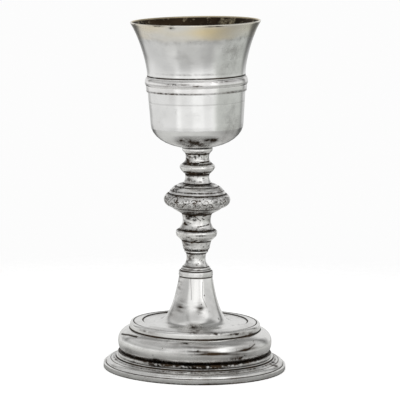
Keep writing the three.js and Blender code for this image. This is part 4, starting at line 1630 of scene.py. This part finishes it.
@dataclass
class Studio:
    """The plain pale floor, the soft light round it and the camera."""

    floor_radius: float = 0.5
    floor_sides: int = 96
    floor_drop: float = 0.02
    floor_roughness: float = 0.8
    floor_fade: float = 0.22
    floor_color: Color = (0.9, 0.9, 0.9)
    floor_lift: float = 0.6
    # In the silver's reflections the floor glows: painted light, brighter to the left, and a painted shadow
    # round the foot
    mirrored_floor: Color = (0.5, 0.5, 0.49)
    mirrored_glow_left: float = 0.36
    mirrored_glow_right: float = 0.12
    mirrored_glow_reach: float = 0.25
    contact_shade: float = 0.12
    contact_radius: tuple[float, float] = (0.06, 0.14)
    backdrop: Color = (0.975, 0.975, 0.975)
    dim: Color = (0.11, 0.11, 0.107)
    boxes: tuple[SoftBox, ...] = (
        SoftBox(4, 0, 14, 34, 8, 0.14),
        SoftBox(0, 3, 46, 29, 20, 0.76),
        SoftBox(0, -38, 70, 8, 8, 0.3),
        SoftBox(15, 48, 50, 22, 20, 0.46),
        SoftBox(-92, -22, 50, 24, 16, 0.5),
        SoftBox(-92, -8, 50, 11, 12, 0.18),
        SoftBox(-90, 12, 40, 14, 14, 0.34),
        SoftBox(-88, 46, 46, 24, 20, 0.38),
        SoftBox(88, -22, 46, 24, 16, 0.44, (0.97, 1.0, 0.95)),
        SoftBox(80, 20, 46, 22, 16, 0.5),
        SoftBox(75, 56, 52, 18, 18, 0.12),
        SoftBox(180, 12, 40, 22, 14, 0.62),
        SoftBox(180, 56, 70, 20, 20, 0.16),
        SoftBox(-60, 82, 120, 18, 16, 0.46),
    )
    camera_distance: float = 1.842
    camera_height: float = 0.376
    aim_height: float = 0.12
    lens: float = 243.2
    shift: tuple[float, float] = (0.00725, -0.0114)
    roll: float = 0.9

    def build(self) -> None:
        """Sets up light, floor, camera and the picture's plain tone curve."""
        self._world()
        self._floor()
        self._camera()
        bpy.context.scene.view_settings.view_transform = "Standard"

    def _world(self) -> None:
        """Paints the soft boxes on the studio's surroundings, by direction."""
        world = bpy.data.worlds.new("studio")
        bpy.context.scene.world = world
        world.use_nodes = True
        world.node_tree.nodes.clear()
        graph = Graph(world.node_tree)
        place = graph.add("ShaderNodeTexCoord").outputs["Generated"]
        split = graph.add("ShaderNodeSeparateXYZ", {0: place})
        back = graph.math("MULTIPLY", split.outputs["Y"], -1.0)
        azimuth = graph.math("ARCTAN2", split.outputs["X"], back)
        elevation = graph.math("ARCSINE", split.outputs["Z"])
        light: object = (*self.dim, 1.0)
        for box in self.boxes:
            turn = graph.math("SUBTRACT", azimuth, math.radians(box.azimuth))
            turn = graph.math("ABSOLUTE", graph.math("WRAP", turn, math.pi, -math.pi))
            rise = graph.math("ABSOLUTE", graph.math("SUBTRACT", elevation, math.radians(box.elevation)))
            sides = self._edge(graph, turn, box.half_width, box.edge)
            ends = self._edge(graph, rise, box.half_height, box.edge)
            glow = (*(box.strength * c for c in box.tint), 1.0)
            light = graph.mix(graph.math("MULTIPLY", sides, ends), light, glow, "ADD")
        studio = graph.add("ShaderNodeBackground", {"Color": light}).outputs[0]
        seen = graph.add("ShaderNodeBackground", {"Color": (*self.backdrop, 1.0)}).outputs[0]
        graph.add("ShaderNodeOutputWorld", {"Surface": graph.by_viewer(studio, seen)})

    @staticmethod
    def _edge(graph: Graph, value: object, half: float, soft: float) -> bpy.types.NodeSocket:
        """1 within a half size and 0 past its soft edge."""
        return graph.ramp(value, math.radians(half - soft / 2), math.radians(half + soft / 2), 1.0, 0.0)

    def _floor(self) -> None:
        """A pale round table that melts into the backdrop."""
        shape = bmesh.new()
        bmesh.ops.create_circle(shape, cap_ends=True, segments=self.floor_sides, radius=self.floor_radius)
        mesh = bpy.data.meshes.new("floor")
        shape.to_mesh(mesh)
        shape.free()
        mesh.transform(Matrix.Translation((0, 0, -self.floor_drop * MM)))
        mesh.materials.append(self._floor_material())
        floor = linked("floor", mesh)

    def _floor_material(self) -> bpy.types.Material:
        """Nearly white to the camera; in the silver's reflections grey, with a painted glow that is brighter
        to the left and a painted shadow round the foot.

        Returns:
            The new material.
        """
        material = bpy.data.materials.new("pale floor")
        material.use_nodes = True
        nodes = material.node_tree.nodes
        graph = Graph(material.node_tree)
        place = graph.add("ShaderNodeTexCoord").outputs["Object"]
        split = graph.add("ShaderNodeSeparateXYZ", {0: place})
        # Painted light: the floor's glow in reflections, from bright on the left to dim on the right
        sides = (self.mirrored_glow_left, self.mirrored_glow_right)
        across = graph.ramp(split.outputs["X"], 0.0, self.mirrored_glow_reach, *sides)
        reach = graph.add("ShaderNodeVectorMath", {0: place}, operation="LENGTH").outputs["Value"]
        # Painted shadow round the foot, seen only in reflections
        painted_contact_shadow = graph.ramp(reach, *self.contact_radius, self.contact_shade, 1.0)
        seen = {
            "Base Color": (*self.floor_color, 1.0),
            "Roughness": self.floor_roughness,
            "Specular IOR Level": 0.0,
            "Emission Color": (1.0, 1.0, 1.0, 1.0),
            "Emission Strength": self.floor_lift,
        }
        mirrored = {
            "Base Color": (*self.mirrored_floor, 1.0),
            "Specular IOR Level": 0.0,
            "Emission Color": (1.0, 1.0, 0.98, 1.0),
            "Emission Strength": graph.math("MULTIPLY", across, painted_contact_shadow),
        }
        table = graph.by_viewer(
            graph.add("ShaderNodeBsdfPrincipled", mirrored).outputs[0],
            graph.feed(nodes["Principled BSDF"], seen).outputs[0],
        )
        fade = graph.ramp(reach, self.floor_fade, self.floor_radius, 1.0, 0.0)
        clear = graph.add("ShaderNodeBsdfTransparent").outputs[0]
        graph.feed(nodes["Material Output"], {"Surface": graph.choose(fade, clear, table)})
        return material

    def _camera(self) -> None:
        """Stands the camera where the photograph was taken from."""
        data = bpy.data.cameras.new("camera")
        data.lens = self.lens
        data.shift_x, data.shift_y = self.shift
        camera = linked("camera", data)
        place = Vector((0, -self.camera_distance, self.camera_height))
        look = (Vector((0, 0, self.aim_height)) - place).to_track_quat("-Z", "Y")
        turned = look.to_matrix().to_4x4() @ Matrix.Rotation(math.radians(self.roll), 4, "Z")
        camera.matrix_world = Matrix.Translation(place) @ turned
        bpy.context.scene.camera = camera


@dataclass
class Chalice:
    """The whole vessel: seven pieces, stacked, with the stem's two bends."""

    seam: float = 0.3
    neck_lean: float = 0.6
    cup_lean: float = 1.2

    def build(self) -> list[bpy.types.Object]:
        """Builds every piece from the table up.

        Returns:
            The finished objects.
        """
        effects = Effects()
        stem = SilverFinish(
            "cast stem silver", (0.95, 0.945, 0.925), 0.2, hollow_tarnish=1.25, cloud=0.2,
            mottle_scale=900.0, wave=0.4, wave_scale=240.0, pit_amount=0.25, pit_scale=1000.0,
        ).material(effects)
        foot_finish = SilverFinish(
            "raised foot silver", (0.93, 0.925, 0.91), 0.18, hollow_tarnish=1.15, cloud=0.18,
            mottle_scale=230.0, wave=0.22, wave_scale=60.0, pit_amount=0.04, pit_scale=500.0,
        )
        flange_finish = SilverFinish(
            "flange silver", (0.9, 0.895, 0.88), 0.2, hollow_tarnish=1.2, cloud=0.22, mottle_scale=520.0,
            wave=0.3, wave_scale=90.0, pit_amount=0.08, pit_scale=600.0,
        )
        knop_finish = SilverFinish(
            "chased knop silver", (0.94, 0.935, 0.92), 0.21, hollow_tarnish=1.3, cloud=0.24,
            mottle_scale=900.0, wave=0.4, wave_scale=260.0, pit_amount=0.25, pit_scale=1200.0,
        )
        cup_finish = SilverFinish(
            "polished cup silver", (0.9, 0.9, 0.89), 0.17, hollow_tarnish=0.95, cloud=0.13,
            mottle_scale=160.0, wave=0.35, wave_scale=45.0, gilt=(0.95, 0.81, 0.53),
        )
        band_finish = SilverFinish(
            "drawn band silver", (0.92, 0.91, 0.9), 0.16, hollow_tarnish=1.2, cloud=0.12, mottle_scale=500.0,
            wave=0.3, wave_scale=120.0,
        )
        foot = Foot(place=standing_on("foot"))
        lower = LowerStem(place=standing_on("lower_stem"))
        knop = Knop(place=standing_on("knop"))
        knop.strokes = knop.chasing()
        neck = Matrix.Translation((0, 0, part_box("knop")[1].z + self.seam * MM)) @ self._lean(self.neck_lean)
        upper = UpperStem(place=neck)
        rise = upper.outline().end[1] + self.seam
        bowl = neck @ Matrix.Translation((0, 0, rise * MM)) @ self._lean(self.cup_lean)
        cup = Cup(place=bowl)
        pieces = [
            FootFlange().build(flange_finish.material(effects)),
            foot.build(foot_finish.material(effects)),
            lower.build(stem),
            knop.build(knop_finish.material(effects)),
            upper.build(stem),
            cup.build(cup_finish.material(effects)),
            CupBand(place=bowl).build(cup.face(), band_finish.material(effects)),
        ]
        for piece in pieces:
            log.info("%s: %d faces", piece.name, len(piece.data.polygons))
        return pieces

    @staticmethod
    def _lean(degrees: float) -> Matrix:
        """A lean towards -X."""
        return Matrix.Rotation(-math.radians(degrees), 4, "Y")


def main() -> None:
    """Builds the chalice and the studio."""
    logging.basicConfig(level=logging.INFO, format="%(name)s: %(message)s")
    Chalice().build()
    Studio().build()


if __name__ == "__main__":
    main()
